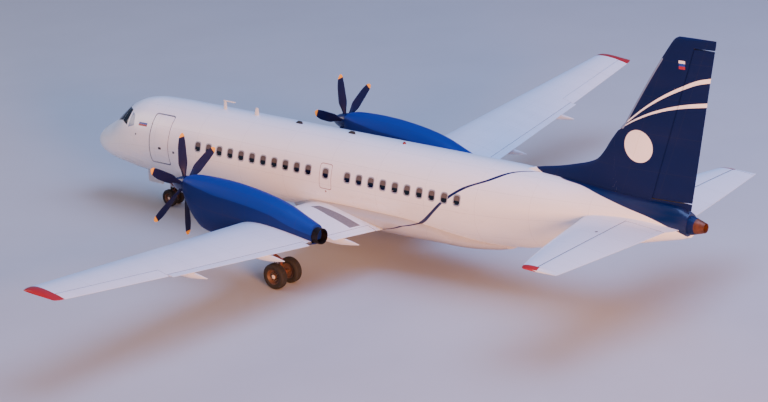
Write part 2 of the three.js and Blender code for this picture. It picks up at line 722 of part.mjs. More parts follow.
// Belly fairing: columns as for the fuselage
const BELLY_SECTIONS = [
  [10300, 900, 1700, 1500, 1215],
  [10900, 1180, 2050, 1640, 1130],
  [11500, 1430, 2150, 1760, 1080],
  [13000, 1540, 2150, 1800, 1065],
  [15200, 1520, 2150, 1800, 1065],
  [16200, 1400, 2100, 1740, 1075],
  [17600, 1150, 1900, 1560, 1085],
  [18700, 800, 1650, 1480, 1180],
];

function wingSolid(grow) {
  return loft(
    WING_RINGS.map(([x, chordScale, thicknessScale], i) =>
      wingRing(i === 0 ? x - grow : x, chordScale, thicknessScale, grow),
    ),
    alongX,
  );
}

const mirrored = (solid) => solid.mirror([1, 0, 0]);
const wingRoom = wingSolid(SEAM);

function middle() {
  const mid = fuselageBetween(FRONT_AFT, MID_AFT);
  const belly = loft(BELLY_SECTIONS.map((row) => fuselageRing(row)), alongY)
    .subtract(fuselageRoom)
    .subtract(wingRoom)
    .subtract(mirrored(wingRoom));
  addMesh("fuselage_mid", mid, WHITE_PAINT);
  addMesh("belly_fairing", belly, WHITE_PAINT);
}

// Nacelle with its engine, the cowl in front and the undercarriage bay behind
const COWL_SKIN = 45;
const EXHAUST = { from: 14200 + SEAM, to: 14460, z: 2060, radius: 268, wall: 12 };
const INTAKE = { half: 270, from: 8300, to: 9300, low: 1700, high: 2110 };
const SHAFT_HOLE_TO = 8940;
const COWL_HOLLOW = { first: 8720, nose: 60, tail: 50 }; // its first section, and its ends past the sections
const ENGINE = { half: 330, from: 9320, low: 2130, high: 3000 };

function nacelle() {
  const cowl = nacelleBetween(NACELLE_SECTIONS[0][0], COWL_AFT);
  const hollow = loft(
    NACELLE_SECTIONS.filter(([station]) => station >= COWL_HOLLOW.first && station <= COWL_AFT).map(
      ([station, halfWidth, top, mid, bottom], i, rows) =>
        nacelleRing([
          station + (i === 0 ? COWL_HOLLOW.nose : i === rows.length - 1 ? COWL_HOLLOW.tail : 0),
          halfWidth - COWL_SKIN, top - COWL_SKIN, mid, bottom + COWL_SKIN,
        ]),
    ),
    alongY,
  );
  const shaftHole = bar(
    at(NACELLE_X, aft(HUB_STATION), HUB_Z), at(NACELLE_X, aft(SHAFT_HOLE_TO), HUB_Z), SHAFT_BORE, BEARING_SIDES,
  );
  const intake = box(
    [NACELLE_X - INTAKE.half, NACELLE_X + INTAKE.half],
    [aft(INTAKE.from), aft(INTAKE.to)], [INTAKE.low, INTAKE.high],
  );
  const rear = nacelleBetween(COWL_AFT, NACELLE_AFT);
  const bay = box(
    [NACELLE_X - MAIN_BAY.half, NACELLE_X + MAIN_BAY.half],
    [aft(MAIN_BAY.from), aft(MAIN_BAY.to)], [0, MAIN_BAY.roof],
  );
  const pipe = bar(
    at(NACELLE_X, aft(EXHAUST.from), EXHAUST.z), at(NACELLE_X, aft(EXHAUST.to), EXHAUST.z),
    EXHAUST.radius, ROUND_SIDES,
  );
  const pipeBore = bar(
    at(NACELLE_X, aft(EXHAUST.from + 40), EXHAUST.z), at(NACELLE_X, aft(EXHAUST.to + 10), EXHAUST.z),
    EXHAUST.radius - EXHAUST.wall, ROUND_SIDES,
  );
  const engine = box(
    [NACELLE_X - ENGINE.half, NACELLE_X + ENGINE.half],
    [aft(ENGINE.from), aft(COWL_AFT) - SEAM], [ENGINE.low, ENGINE.high],
  );
  addPair("cowl", cowl.subtract(hollow).subtract(shaftHole).subtract(intake), BLUE_PAINT);
  addPair("engine", engine, GEAR_STEEL);
  addPair("nacelle", rear.subtract(bay).subtract(wingRoom), BLUE_PAINT);
  addPair("exhaust", pipe.subtract(pipeBore), HOT_STEEL);
}

// Wing with its flaps, aileron and red tip cap
const TIP_CAP_X = 14640 + CLEAR;
const FLAP_ROUND = 40;
const EXHAUST_GAP = { side: 30, to: 15800, low: 1500, high: 2900 };

function wing() {
  const whole = wingSolid(0).subtract(fuselageRoom);
  const cap = whole.trimByPlane([1, 0, 0], TIP_CAP_X);
  const exhaustGap = box(
    [FLAP_SPANS.inner[1] - EXHAUST_GAP.side, FLAP_SPANS.outer[0] + EXHAUST_GAP.side],
    [aft(NACELLE_AFT), aft(EXHAUST_GAP.to)], [EXHAUST_GAP.low, EXHAUST_GAP.high],
  );
  const inboard = whole.trimByPlane([-1, 0, 0], -TIP_CAP_X + SEAM).subtract(exhaustGap);
  const pair = { fixed: inboard.add(padAt(WING_PAD)) };
  for (const [name, [from, to]] of Object.entries(FLAP_SPANS)) {
    const ends = [from - FLAP_END_GAP, to + FLAP_END_GAP].map(flapAxisPoint);
    const coveStrip = wingStrip(from - 100, to + 100, coveOutline);
    pair.fixed = pair.fixed.subtract(between(coveStrip, flapAxis, ...ends));
    const strip = wingStrip(from - 60, to + 60, flapOutline);
    pair.moving = between(strip, flapAxis, flapAxisPoint(from), flapAxisPoint(to));
    for (const x of FAIRINGS[name]) {
      const pod = fairing(x);
      const axis = flapAxisPoint(x);
      const round = [-200, 200].map((d) => axis.clone().addScaledVector(flapAxis, d));
      const rear = pod.trimByPlane([0, 1, 0], axis.y).add(pod.intersect(bar(...round, FLAP_ROUND)));
      const room = wingStrip(x - 200, x + 200, (at_) => [
        [0.4, upper(at_, 0.4) - 60], [0.4, FAR], [1.3, FAR], [1.3, TE_HALF],
        [shroudEnd(at_), upper(at_, shroudEnd(at_)) - 60],
      ]);
      pair.fixed = pair.fixed.add(pod.trimByPlane([0, -1, 0], -(axis.y - FLAP_ROUND - CLEAR)).subtract(room));
      pair.moving = pair.moving.add(rear.subtract(room));
      addHinge(pair, axis, flapAxis, HINGES.flap);
    }
    addPair(`flap_${name}`, pair.moving, GREY_PAINT);
  }
  const halfAt = (x) => {
    const u = (aileronHingeStation(x) - wingLeStation(x)) / wingChord(x);
    return (upper(x, u) - lower(x, u)) / 2;
  };
  const cut = controlSurface(pair.fixed, aileronAxisPoint, AILERON_SPAN, halfAt, ACROSS.z, slabX);
  const aileronAxis = direction(aileronAxisPoint, ...AILERON_SPAN);
  for (const x of AILERON_HINGES) addHinge(cut, aileronAxisPoint(x), aileronAxis, HINGES.aileron);
  addPair("aileron", cut.moving, GREY_PAINT);
  addPair("wing", cut.fixed, GREY_PAINT);
  addPair("wing_tip", cap, paint(0xb3262a));
}

// Tail surfaces. Rows are place along the span, leading edge station, trailing edge station, thickness.
const FIN_ROWS = [
  [3700, 22000, 25910, 400],
  [5200, 22940, 26180, 330],
  [8880, 25240, 26830, 170],
  [9120, 25440, LENGTH - 4, 120],
  [HEIGHT, 25580, LENGTH, 40],
];
const TAILPLANE_Z = 3150;
const TAILPLANE_ROWS = [
  [300, 22370, 25500, 330],
  [5420, 23470, 24820, 150],
  [5550, 23560, 24800, 50],
];
const DORSAL = [
  [19700, 3900], [19700, 4075], [20200, 4215], [20980, 4370], [21600, 4530], [22130, 4690],
  [22440, 4835], [22730, 5145], [22950, 5500], [23270, 5920], [23580, 6220], [23580, 3900],
]; // station, height
const DORSAL_HALF = 55;
const TAIL_SHARES = [0, 0.02, 0.08, 0.2, 0.4, 0.7, 1];
const rudderHinge = (z) => at(0, aft(line([3850, 24580], [8950, 26190])(z)), z);
const RUDDER_ENDS = [3945, 8860];
const RUDDER_GAPS = [32, 36];
const RUDDER_HINGES = [4500, 6300, 8200];
const ELEVATOR_STATION = 24050;
const elevatorHinge = (x) => at(x, aft(ELEVATOR_STATION), TAILPLANE_Z);
const ELEVATOR_ENDS = [800, 5380];
const ELEVATOR_HINGES = [1400, 3100, 4900];

const NOZZLE = { to: 26430, z: 3240, root: 300, tip: 155, boreFrom: 26100, wall: 17 };

function tailSurface(rows, place) {
  return rows.map(([span, le, te, thick]) => {
    const chord = te - le;
    const half = (u) => halfThickness(u, thick) + TE_HALF * u;
    const over = TAIL_SHARES.toReversed().map((u) => [u, half(u)]);
    const under = TAIL_SHARES.slice(1).map((u) => [u, -half(u)]);
    return [...over, ...under].map(([u, v]) => place(span, aft(le + u * chord), v));
  });
}

// Half the thickness at a station, between the rows
function halfAtStation(rows, span, station) {
  const next = rows.findIndex(([place]) => place >= span);
  const [a, b] = [rows[next - 1], rows[next]];
  const mix = (i) => line([a[0], a[i]], [b[0], b[i]])(span);
  return halfThickness((station - mix(1)) / (mix(2) - mix(1)), mix(3)) + TE_HALF;
}

function tail() {
  const fin = loft(tailSurface(FIN_ROWS, (z, y, v) => at(v, y, z)), alongZ);
  const outline = new THREE.Shape(DORSAL.map(([station, z]) => new THREE.Vector2(aft(station), z)));
  const plate = new THREE.ExtrudeGeometry(outline, { depth: 2 * DORSAL_HALF, bevelEnabled: false });
  plate.applyMatrix4(
    new THREE.Matrix4().makeBasis(at(0, 1, 0), at(0, 0, 1), at(1, 0, 0)).setPosition(-DORSAL_HALF, 0, 0),
  );
  const whole = fin.add(solidOf(plate)).subtract(fuselageRoom);
  const rudderHalf = (z) => halfAtStation(FIN_ROWS, z, rudderHinge(z).y + LENGTH / 2);
  const rudder = controlSurface(whole, rudderHinge, RUDDER_ENDS, rudderHalf, ACROSS.x, slabZ, RUDDER_GAPS);
  const rudderAxis = direction(rudderHinge, ...RUDDER_ENDS);
  for (const z of RUDDER_HINGES) addHinge(rudder, rudderHinge(z), rudderAxis, HINGES.rudder);
  addMesh("fin", rudder.fixed, BLUE_PAINT);
  addMesh("rudder", rudder.moving, BLUE_PAINT);

  const plane = loft(tailSurface(TAILPLANE_ROWS, (x, y, v) => at(x, y, TAILPLANE_Z + v)), alongX)
    .subtract(fuselageRoom);
  const elevatorHalf = (x) => halfAtStation(TAILPLANE_ROWS, x, ELEVATOR_STATION);
  const elevator = controlSurface(plane, elevatorHinge, ELEVATOR_ENDS, elevatorHalf, ACROSS.z, slabX);
  for (const x of ELEVATOR_HINGES) addHinge(elevator, elevatorHinge(x), ACROSS.x, HINGES.elevator);
  addPair("tailplane", elevator.fixed, GREY_PAINT);
  addPair("elevator", elevator.moving, GREY_PAINT);

  const nozzle = bar(at(0, aft(TAIL_AFT + SEAM), NOZZLE.z), at(0, aft(NOZZLE.to), NOZZLE.z), NOZZLE.root,
    ROUND_SIDES, NOZZLE.tip);
  const bore = bar(at(0, aft(NOZZLE.boreFrom), NOZZLE.z), at(0, aft(NOZZLE.to + CLEAR), NOZZLE.z),
    NOZZLE.tip - NOZZLE.wall, ROUND_SIDES);
  addMesh("tail_nozzle", nozzle.subtract(bore), HOT_STEEL);
}

// Propellers
function propellers() {
  for (const [name, side] of [["left", 1], ["right", -1]]) {
    const turnBy = (solid) => solid.rotate([0, BLADE_PHASE[name], 0]);
    const hub = at(side * NACELLE_X, aft(HUB_STATION), HUB_Z);
    addMesh(`propeller_${name}`, turnBy(bladesAndHub()), BLADE_PAINT, hub);
    addMesh(`spinner_${name}`, turnBy(spinner()), BLUE_PAINT, hub);
  }
}

// Undercarriage
const LEG = {
  topStation: 11760, radius: 75, lowRadius: 58, kneeShare: 0.55, braceStation: 12700, braceRadius: 40,
};
const MAIN_DOOR = { thickness: 25.7, from: 11440, to: 12100, low: 1010, high: 1680 };
const BARREL_HALF = 130;
const EYE_RADIUS = 95;

// An undercarriage door hanging open, flat against the side wall of its bay
function doorPanel(side, outerFace, { thickness, from, to, low, high }) {
  const xs = [side * outerFace, side * (outerFace - thickness)].sort((a, b) => a - b);
  return box(xs, [aft(from), aft(to)], [low, high]);
}

function mainGear() {
  const axle = at(NACELLE_X, aft(MAIN.station), MAIN.tyreRadius);
  const top = at(NACELLE_X, aft(LEG.topStation), MAIN_BAY.roof - SEAM);
  const knee = axle.clone().lerp(top, LEG.kneeShare);
  const cylinder = bar(knee, top, LEG.radius, 16);
  const piston = bar(axle, knee, LEG.lowRadius, 16);
  const beside = (d) => axle.clone().add(at(d, 0, 0));
  const eye = bar(beside(-BARREL_HALF), beside(BARREL_HALF), EYE_RADIUS, 16);
  const brace = bar(knee, at(NACELLE_X, aft(LEG.braceStation), MAIN_BAY.roof - SEAM), LEG.braceRadius, 12);
  const bore = bar(beside(-MAIN.offset), beside(MAIN.offset), MAIN.boreRadius, BEARING_SIDES);
  const below = [0, 0, -1];
  const leg = joined([cylinder, piston, eye, brace]).trimByPlane(below, -(MAIN_BAY.roof - SEAM)).subtract(bore);
  addPair("main_leg", leg, GEAR_STEEL);
  for (const [name, side] of [["inner", -1], ["outer", 1]]) {
    const panel = doorPanel(side, MAIN_BAY.half - SEAM, MAIN_DOOR).translate([NACELLE_X, 0, 0]);
    addPair(`main_gear_door_${name}`, panel, BLUE_PAINT);
  }
  for (const [name, side] of [["left", 1], ["right", -1]]) {
    const centre = at(side * NACELLE_X, axle.y, axle.z);
    addMesh(`main_wheels_${name}`, wheelset(MAIN), GEAR_STEEL, centre);
    addTyres(`main_tyre_${name}`, MAIN, centre);
  }
}

function addTyres(name, size, centre) {
  for (const [end, side] of [["a", 1], ["b", -1]]) {
    addMesh(`${name}_${end}`, tyre(size), TYRE_RUBBER, centre.clone().add(at(side * size.offset, 0, 0)));
  }
}

const NOSE_LEG = {
  radius: 72, foot: 820, stem: 46, bore: 46.7, stemTop: 1050, barrelHalf: 60, barrelRadius: 62,
  dragFoot: 1150, dragStation: 2600, dragRadius: 35, footRadius: 50,
};
const NOSE_DOOR = { thickness: 23.7, from: 2520, to: 3300, low: 840, high: 1600 };
const TOW_FITTING = { half: 45, halfHeight: 28, reach: 110 };

function noseGear() {
  const pivot = at(0, aft(NOSE_STEER_STATION), 0);
  const place = (z) => at(0, pivot.y, z);
  const roof = NOSE_BAY.roof - SEAM;
  const drag = bar(place(NOSE_LEG.dragFoot), at(0, aft(NOSE_LEG.dragStation), roof), NOSE_LEG.dragRadius, 12)
    .trimByPlane([0, 0, -1], -roof);
  const leg = bar(place(NOSE_LEG.foot), place(roof), NOSE_LEG.radius, 16)
    .add(drag)
    .subtract(bar(place(NOSE_LEG.foot - 20), place(NOSE_LEG.stemTop + 20), NOSE_LEG.bore, BEARING_SIDES));
  addMesh("nose_leg", leg, GEAR_STEEL);
  const axle = at(0, aft(NOSE.station), NOSE.tyreRadius);
  const stem = bar(place(NOSE.tyreRadius + 60), place(NOSE_LEG.stemTop), NOSE_LEG.stem, BEARING_SIDES);
  const foot = bar(place(NOSE.tyreRadius + 90), axle, NOSE_LEG.footRadius, 12);
  const beside = (d) => axle.clone().add(at(d, 0, 0));
  const eye = bar(beside(-NOSE_LEG.barrelHalf), beside(NOSE_LEG.barrelHalf), NOSE_LEG.barrelRadius, 16);
  const bore = bar(beside(-NOSE.offset), beside(NOSE.offset), NOSE.boreRadius, BEARING_SIDES);
  const towFace = axle.y - TOW_FITTING.reach;
  const towFitting = box(
    [-TOW_FITTING.half, TOW_FITTING.half], [towFace, axle.y - 40],
    [axle.z - TOW_FITTING.halfHeight, axle.z + TOW_FITTING.halfHeight],
  );
  addMesh("nose_fork", joined([stem, foot, eye, towFitting]).subtract(bore), GEAR_STEEL);
  addMesh("nose_wheels", wheelset(NOSE), GEAR_STEEL, axle);
  addTyres("nose_tyre", NOSE, axle);
  for (const [name, side] of [["right", -1], ["left", 1]]) {
    addMesh(`nose_gear_door_${name}`, doorPanel(side, NOSE_BAY.half - SEAM, NOSE_DOOR), WHITE_PAINT);
  }
}

fuselage();
middle();
nacelle();
wing();
tail();
propellers();
mainGear();
noseGear();

export default airliner;
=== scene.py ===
import math

import bmesh
import bpy
import numpy as np
from mathutils import Matrix, Vector


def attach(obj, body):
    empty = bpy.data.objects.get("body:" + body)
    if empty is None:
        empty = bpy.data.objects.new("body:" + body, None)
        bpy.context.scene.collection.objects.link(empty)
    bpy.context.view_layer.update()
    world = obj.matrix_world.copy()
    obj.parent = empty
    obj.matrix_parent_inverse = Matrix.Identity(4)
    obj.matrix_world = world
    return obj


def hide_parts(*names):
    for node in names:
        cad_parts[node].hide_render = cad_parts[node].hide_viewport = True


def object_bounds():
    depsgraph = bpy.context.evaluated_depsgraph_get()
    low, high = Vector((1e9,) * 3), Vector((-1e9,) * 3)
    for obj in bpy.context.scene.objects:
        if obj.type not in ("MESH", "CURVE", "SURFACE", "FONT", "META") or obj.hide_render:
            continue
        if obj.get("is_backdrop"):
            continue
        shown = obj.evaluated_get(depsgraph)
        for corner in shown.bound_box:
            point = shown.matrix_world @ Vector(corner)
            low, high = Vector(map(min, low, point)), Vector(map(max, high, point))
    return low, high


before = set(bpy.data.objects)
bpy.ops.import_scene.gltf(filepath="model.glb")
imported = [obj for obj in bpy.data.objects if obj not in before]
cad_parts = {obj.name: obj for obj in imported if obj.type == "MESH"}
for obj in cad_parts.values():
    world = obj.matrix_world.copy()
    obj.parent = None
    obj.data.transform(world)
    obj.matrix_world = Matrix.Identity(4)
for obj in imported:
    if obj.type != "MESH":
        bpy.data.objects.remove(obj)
cad_low, cad_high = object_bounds()


# Fuselage skin
# Thin aluminium sheet riveted flush to frames and stringers, under white gloss paint with a navy
# tail. It comes in four lengths: a glass fibre radome, the front, the middle and the tapering rear.

def aft(station):
    """Y of a station, the distance aft of the nose tip, which is the frame's lowest Y."""
    return cad_low.y + station


def smooth_rows(table, place, power=1.0):
    """The table's other columns at each place along its first one, taken no further than its ends.
    Between two rows a value follows a cubic whose end slopes are the harmonic mean of the
    neighbouring steps, so that it overshoots no row. With a power under 1 the cubic runs over that
    power of the place."""
    knots, values = table[:, 0] ** power, table[:, 1:]
    where = np.clip(np.asarray(place, float), table[0, 0], table[-1, 0]) ** power
    step = np.diff(values, axis=0) / np.diff(knots)[:, None]
    slope = np.vstack([step[:1], np.zeros_like(step[1:]), step[-1:]])
    before, after = step[:-1], step[1:]
    level = before * after <= 0
    slope[1:-1] = np.where(level, 0, 2 * before * after / np.where(level, 1, before + after))
    i = np.clip(np.searchsorted(knots, where, side="right") - 1, 0, len(knots) - 2)
    span = (knots[i + 1] - knots[i])[..., None]
    t = (where - knots[i])[..., None] / span
    near = (1 + 2 * t) * (1 - t) ** 2 * values[i] + t * (1 - t) ** 2 * span * slope[i]
    far = t ** 2 * (3 - 2 * t) * values[i + 1] - t ** 2 * (1 - t) * span * slope[i + 1]
    return near + far


def oval(table, station, angle, lift=0.0, power=1.0, middle=0.0, squareness=1.0):
    """Points of a body of oval sections. Above its widest height a section is one half ellipse and
    below it another, cosine and sine taken to the power squareness, and lift pushes a point out
    along the ellipse's normal."""
    half, top, widest, bottom = np.moveaxis(smooth_rows(table, station, power), -1, 0)
    across, up = np.cos(angle), np.sin(angle)
    rise = np.where(up > 0, top - widest, widest - bottom)
    out_x, out_z = across * rise, up * half
    size = np.maximum(np.hypot(out_x, out_z), 1e-9)
    x = middle + half * np.sign(across) * np.abs(across) ** squareness + lift * out_x / size
    z = widest + rise * np.sign(up) * np.abs(up) ** squareness + lift * out_z / size
    return np.stack(np.broadcast_arrays(x, aft(station), z), -1)


def loft(rings, ends="closed", finish=0):
    """A part: the skin over rows of rings of points, each ring joined to the next. Its two ends are
    closed by flat faces, left open, or joined to each other as a loop."""
    rows, columns = rings.shape[:2]
    index = np.arange(rows * columns).reshape(rows, columns)
    if ends == "loop":
        index = np.vstack([index, index[:1]])
    beside = np.roll(index, -1, axis=1)
    faces = np.stack([index[:-1], beside[:-1], beside[1:], index[1:]], -1).reshape(-1, 4).tolist()
    if ends == "closed":
        faces += [index[0].tolist(), index[-1][::-1].tolist()]
    return {"points": rings.reshape(-1, 3), "faces": faces, "finish": [finish] * len(faces), "marks": {}}


MERGE_DISTANCE = 2e-5
# A mark on what isn't marked, in metres, so far out that no painted shape reaches it
UNMARKED = 9.0


def mesh_of(name, parts):
    """One mesh from closed parts: points that coincide are merged, and faces turned outwards."""
    starts = np.cumsum([0] + [len(part["points"]) for part in parts])
    faces = [[start + i for i in face] for part, start in zip(parts, starts) for face in part["faces"]]
    mesh = bpy.data.meshes.new(name)
    mesh.from_pydata(np.vstack([part["points"] for part in parts]).tolist(), [], faces)
    mesh.polygons.foreach_set("material_index", np.concatenate([part["finish"] for part in parts]))
    for mark in sorted({mark for part in parts for mark in part["marks"]}):
        values = [part["marks"].get(mark, np.full(len(part["points"]), UNMARKED)) for part in parts]
        attribute = mesh.attributes.new(mark, "FLOAT", "POINT")
        attribute.data.foreach_set("value", np.concatenate(values).astype(np.float32))
    work = bmesh.new()
    work.from_mesh(mesh)
    bmesh.ops.remove_doubles(work, verts=work.verts, dist=MERGE_DISTANCE)
    bmesh.ops.recalc_face_normals(work, faces=work.faces)
    work.to_mesh(mesh)
    work.free()
    return mesh


FINISH_SLOTS = 4


def carve(part, *tools):
    """The part less each closed tool, by an exact Boolean. The walls left have the tool's finish."""
    for tool in tools:
        pair = [bpy.data.objects.new("blank", mesh_of("blank", [each])) for each in (part, tool)]
        for blank in pair:
            bpy.context.scene.collection.objects.link(blank)
            for _ in range(FINISH_SLOTS):
                blank.data.materials.append(None)
        opening = pair[0].modifiers.new("opening", "BOOLEAN")
        opening.operation = "DIFFERENCE"
        opening.solver = "EXACT"
        opening.material_mode = "INDEX"
        opening.object = pair[1]
        result = pair[0].evaluated_get(bpy.context.evaluated_depsgraph_get())
        mesh = bpy.data.meshes.new_from_object(result)
        points = np.empty(len(mesh.vertices) * 3)
        mesh.vertices.foreach_get("co", points)
        finish = [face.material_index for face in mesh.polygons]
        faces = [list(face.vertices) for face in mesh.polygons]
        part = {"points": points.reshape(-1, 3), "faces": faces, "finish": finish, "marks": {}}
        for blank in pair:
            bpy.data.meshes.remove(blank.data)
        bpy.data.meshes.remove(mesh)
    return part


def piece(name, parts, finishes, body, replaced=(), crease=35):
    """Makes one object of its parts, smooth but for edges over the crease angle in degrees."""
    mesh = mesh_of(name, parts)
    for finish in finishes:
        mesh.materials.append(finish)
    mesh.shade_smooth()
    mesh.set_sharp_from_angle(angle=math.radians(crease))
    made = bpy.data.objects.new(name, mesh)
    bpy.context.scene.collection.objects.link(made)
    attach(made, body)
    if replaced:
        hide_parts(*replaced)


def linear(colour):
    """An sRGB hex colour as linear RGBA."""
    channels = np.array([int(colour[i:i + 2], 16) for i in (0, 2, 4)]) / 255
    light = np.where(channels <= 0.04045, channels / 12.92, ((channels + 0.055) / 1.055) ** 2.4)
    return (*light.tolist(), 1.0)


def add_node(tree, kind, inputs=None, **settings):
    """A shader node with its settings. An input is a value or another node's output. Inputs 1 and 2
    of a Map Range are the values that it takes to 0 and 1, or to its inputs 3 and 4, and inputs 6
    and 7 of a Mix are its two colours."""
    node = tree.nodes.new("ShaderNode" + kind)
    for key, value in settings.items():
        setattr(node, key, value)
    for key, value in (inputs or {}).items():
        if isinstance(value, bpy.types.NodeSocket):
            tree.links.new(value, node.inputs[key])
        else:
            node.inputs[key].default_value = value
    return node


def blank_material(name):
    """A material whose node tree is still empty."""
    material = bpy.data.materials.new(name)
    material.use_nodes = True
    material.node_tree.nodes.clear()
    return material


def gloss_paint(name, colour, layers=(), seams=None, roughness=0.27, coat=0.3, dirt=0.1, specular=0.5):
    """Two-pack polyurethane gloss sprayed over primed sheet: an even colour with a wet shine and a
    faint film of grime, at most the share dirt of it. A dark colour gets a higher roughness and less
    coat and specular, or else it mirrors so much of the lamps that it reads pale. layers are
    (colour, mark), painted where the mark is below 0, or (colour, mark, width), painted where the
    mark is within its width of 0. seams is (along mark, pitch, around mark, pitch) in metres: the
    butt joints are about 2 mm wide, and are drawn 8 mm wide to show."""
    material = blank_material(name)
    tree = material.node_tree
    place = add_node(tree, "TexCoord").outputs["Object"]
    drawn = add_node(tree, "Mapping", {"Vector": place, "Scale": (1.4, 0.35, 1.4)}).outputs[0]
    film = add_node(tree, "TexNoise", {"Vector": drawn, "Scale": 1.0, "Detail": 5.0}).outputs[0]
    grime = add_node(tree, "MapRange", {"Value": film, 1: 0.45, 2: 0.85, 4: dirt}).outputs[0]
    base = linear(colour)
    for tint, mark, *width in layers:
        value = add_node(tree, "Attribute", attribute_name=mark).outputs["Fac"]
        if width:
            half = add_node(tree, "Attribute", attribute_name=width[0]).outputs["Fac"]
            size = add_node(tree, "Math", {0: value}, operation="ABSOLUTE").outputs[0]
            value = add_node(tree, "Math", {0: size, 1: half}, operation="SUBTRACT").outputs[0]
        inside = add_node(tree, "MapRange", {"Value": value, 1: 0.004, 2: -0.004}).outputs[0]
        mixed = add_node(tree, "Mix", {0: inside, 6: base, 7: linear(tint)}, data_type="RGBA")
        base = mixed.outputs[2]
    soiled = add_node(tree, "Mix", {0: grime, 6: base, 7: linear("8A857C")}, data_type="RGBA")
    base = soiled.outputs[2]
    fine = add_node(tree, "TexNoise", {"Vector": place, "Scale": 45.0, "Detail": 2.0})
    height = add_node(tree, "Math", {0: fine.outputs[0], 1: 0.15}, operation="MULTIPLY").outputs[0]
    if seams:
        lines = []
        for mark, pitch in (seams[:2], seams[2:]):
            value = add_node(tree, "Attribute", attribute_name=mark).outputs["Fac"]
            gap = add_node(tree, "Math", {0: value, 1: pitch / 2}, operation="PINGPONG")
            line = add_node(tree, "MapRange", {"Value": gap.outputs[0], 1: 0.0055, 2: 0.0025})
            lines.append(line.outputs[0])
        seam = add_node(tree, "Math", {0: lines[0], 1: lines[1]}, operation="MAXIMUM").outputs[0]
        shade = add_node(tree, "Math", {0: seam, 1: 0.3}, operation="MULTIPLY").outputs[0]
        joint = add_node(tree, "Mix", {0: shade, 6: base, 7: linear("3A3A3C")}, data_type="RGBA")
        base = joint.outputs[2]
        height = add_node(tree, "Math", {0: height, 1: seam}, operation="SUBTRACT").outputs[0]
    bump = add_node(tree, "Bump", {"Height": height, "Strength": 0.25, "Distance": 0.002})
    rough = add_node(tree, "MapRange", {
        "Value": film, 1: 0.2, 2: 0.8, 3: roughness - 0.04, 4: roughness + 0.1,
    })
    shader = add_node(tree, "BsdfPrincipled", {
        "Base Color": base, "Roughness": rough.outputs[0], "Normal": bump.outputs[0],
        "Coat Weight": coat, "Coat Roughness": 0.12, "Specular IOR Level": specular,
    })
    add_node(tree, "OutputMaterial", {"Surface": shader.outputs[0]})
    return material


def plain_finish(name, colour, spots, grain, roughness, metallic=0.0, bump_height=0.0005):
    """A finish with mottling: noise of the grain's size in metres mixes the colour with its spots
    and drives a small bump and the roughness."""
    material = blank_material(name)
    tree = material.node_tree
    place = add_node(tree, "TexCoord").outputs["Object"]
    noise = add_node(tree, "TexNoise", {"Vector": place, "Scale": 1 / grain, "Detail": 4.0}).outputs[0]
    share = add_node(tree, "MapRange", {"Value": noise, 1: 0.35, 2: 0.7}).outputs[0]
    mixed = add_node(tree, "Mix", {0: share, 6: linear(colour), 7: linear(spots)}, data_type="RGBA")
    rough = add_node(tree, "MapRange", {
        "Value": noise, 1: 0.3, 2: 0.7, 3: roughness - 0.06, 4: roughness + 0.06,
    })
    bump = add_node(tree, "Bump", {"Height": noise, "Strength": 0.5, "Distance": bump_height})
    shader = add_node(tree, "BsdfPrincipled", {
        "Base Color": mixed.outputs[2], "Roughness": rough.outputs[0], "Normal": bump.outputs[0],
        "Metallic": metallic,
    })
    add_node(tree, "OutputMaterial", {"Surface": shader.outputs[0]})
    return material


# Columns: station, half width, top, height of the widest point, bottom
FUSELAGE = np.array([
    (0.00, 0.000, 2.060, 2.060, 2.060),
    (0.07, 0.225, 2.285, 2.060, 1.850),
    (0.30, 0.465, 2.500, 2.075, 1.690),
    (0.85, 0.780, 2.840, 2.160, 1.535),
    (1.30, 0.955, 3.090, 2.260, 1.455),
    (1.75, 1.090, 3.470, 2.370, 1.395),
    (2.20, 1.200, 3.810, 2.470, 1.345),
    (2.70, 1.295, 3.990, 2.560, 1.300),
    (3.30, 1.375, 4.065, 2.620, 1.260),
    (4.70, 1.430, 4.090, 2.660, 1.230),
    (8.90, 1.430, 4.090, 2.660, 1.230),
    (16.50, 1.430, 4.090, 2.660, 1.230),
    (17.50, 1.425, 4.090, 2.662, 1.240),
    (19.70, 1.325, 4.082, 2.760, 1.420),
    (21.00, 1.175, 4.062, 2.870, 1.680),
    (22.50, 0.930, 4.000, 3.005, 2.030),
    (24.00, 0.660, 3.900, 3.140, 2.330),
    (25.00, 0.490, 3.850, 3.210, 2.590),
    (25.60, 0.390, 3.780, 3.230, 2.740),
    (25.90, 0.330, 3.620, 3.210, 2.850),
])
CABIN_RADIUS = 1.43
CABIN_AXIS = 2.66
# The nose is blunt, so its sections are read over the square root of the station
BLUNT = 0.5
# Each length of skin and the stations where it starts and ends
SKIN_LENGTHS = (
    ("radome", 0.0, 0.85),
    ("fuselage_front", 0.85, 8.9),
    ("fuselage_mid", 8.9, 16.5),
    ("fuselage_rear", 16.5, 25.9),
)
SKIN_STEP = 0.09
ROUND = np.linspace(0, 2 * np.pi, 97)[:-1]

# The stripe that sweeps down from the fin's foot: angle round the section, station, half width along it
STRIPE = np.array([
    (-60, 15.00, 0.090),
    (-26, 16.30, 0.090),
    (-7, 16.81, 0.070),
    (10, 17.24, 0.070),
    (33, 17.99, 0.085),
    (50, 18.80, 0.085),
    (72, 19.50, 0.070),
    (84, 20.15, 0.060),
    (92, 20.90, 0.045),
])
# The navy tail starts at a station, and its lower edge is at these heights: station, height
NAVY_FROM = 20.38
NAVY_EDGE = np.array([
    (20.00, 4.30), (21.10, 4.05), (22.04, 3.97), (22.94, 3.81), (23.88, 3.61),
    (24.62, 3.45), (25.32, 3.22), (25.74, 3.04), (26.00, 2.86), (26.90, 2.40),
])


def skin_place(station, girth, lift=0.0):
    """A point of the skin at a station and a distance round the cabin's side from its widest line."""
    return oval(FUSELAGE, station, girth / CABIN_RADIUS, lift, BLUNT)


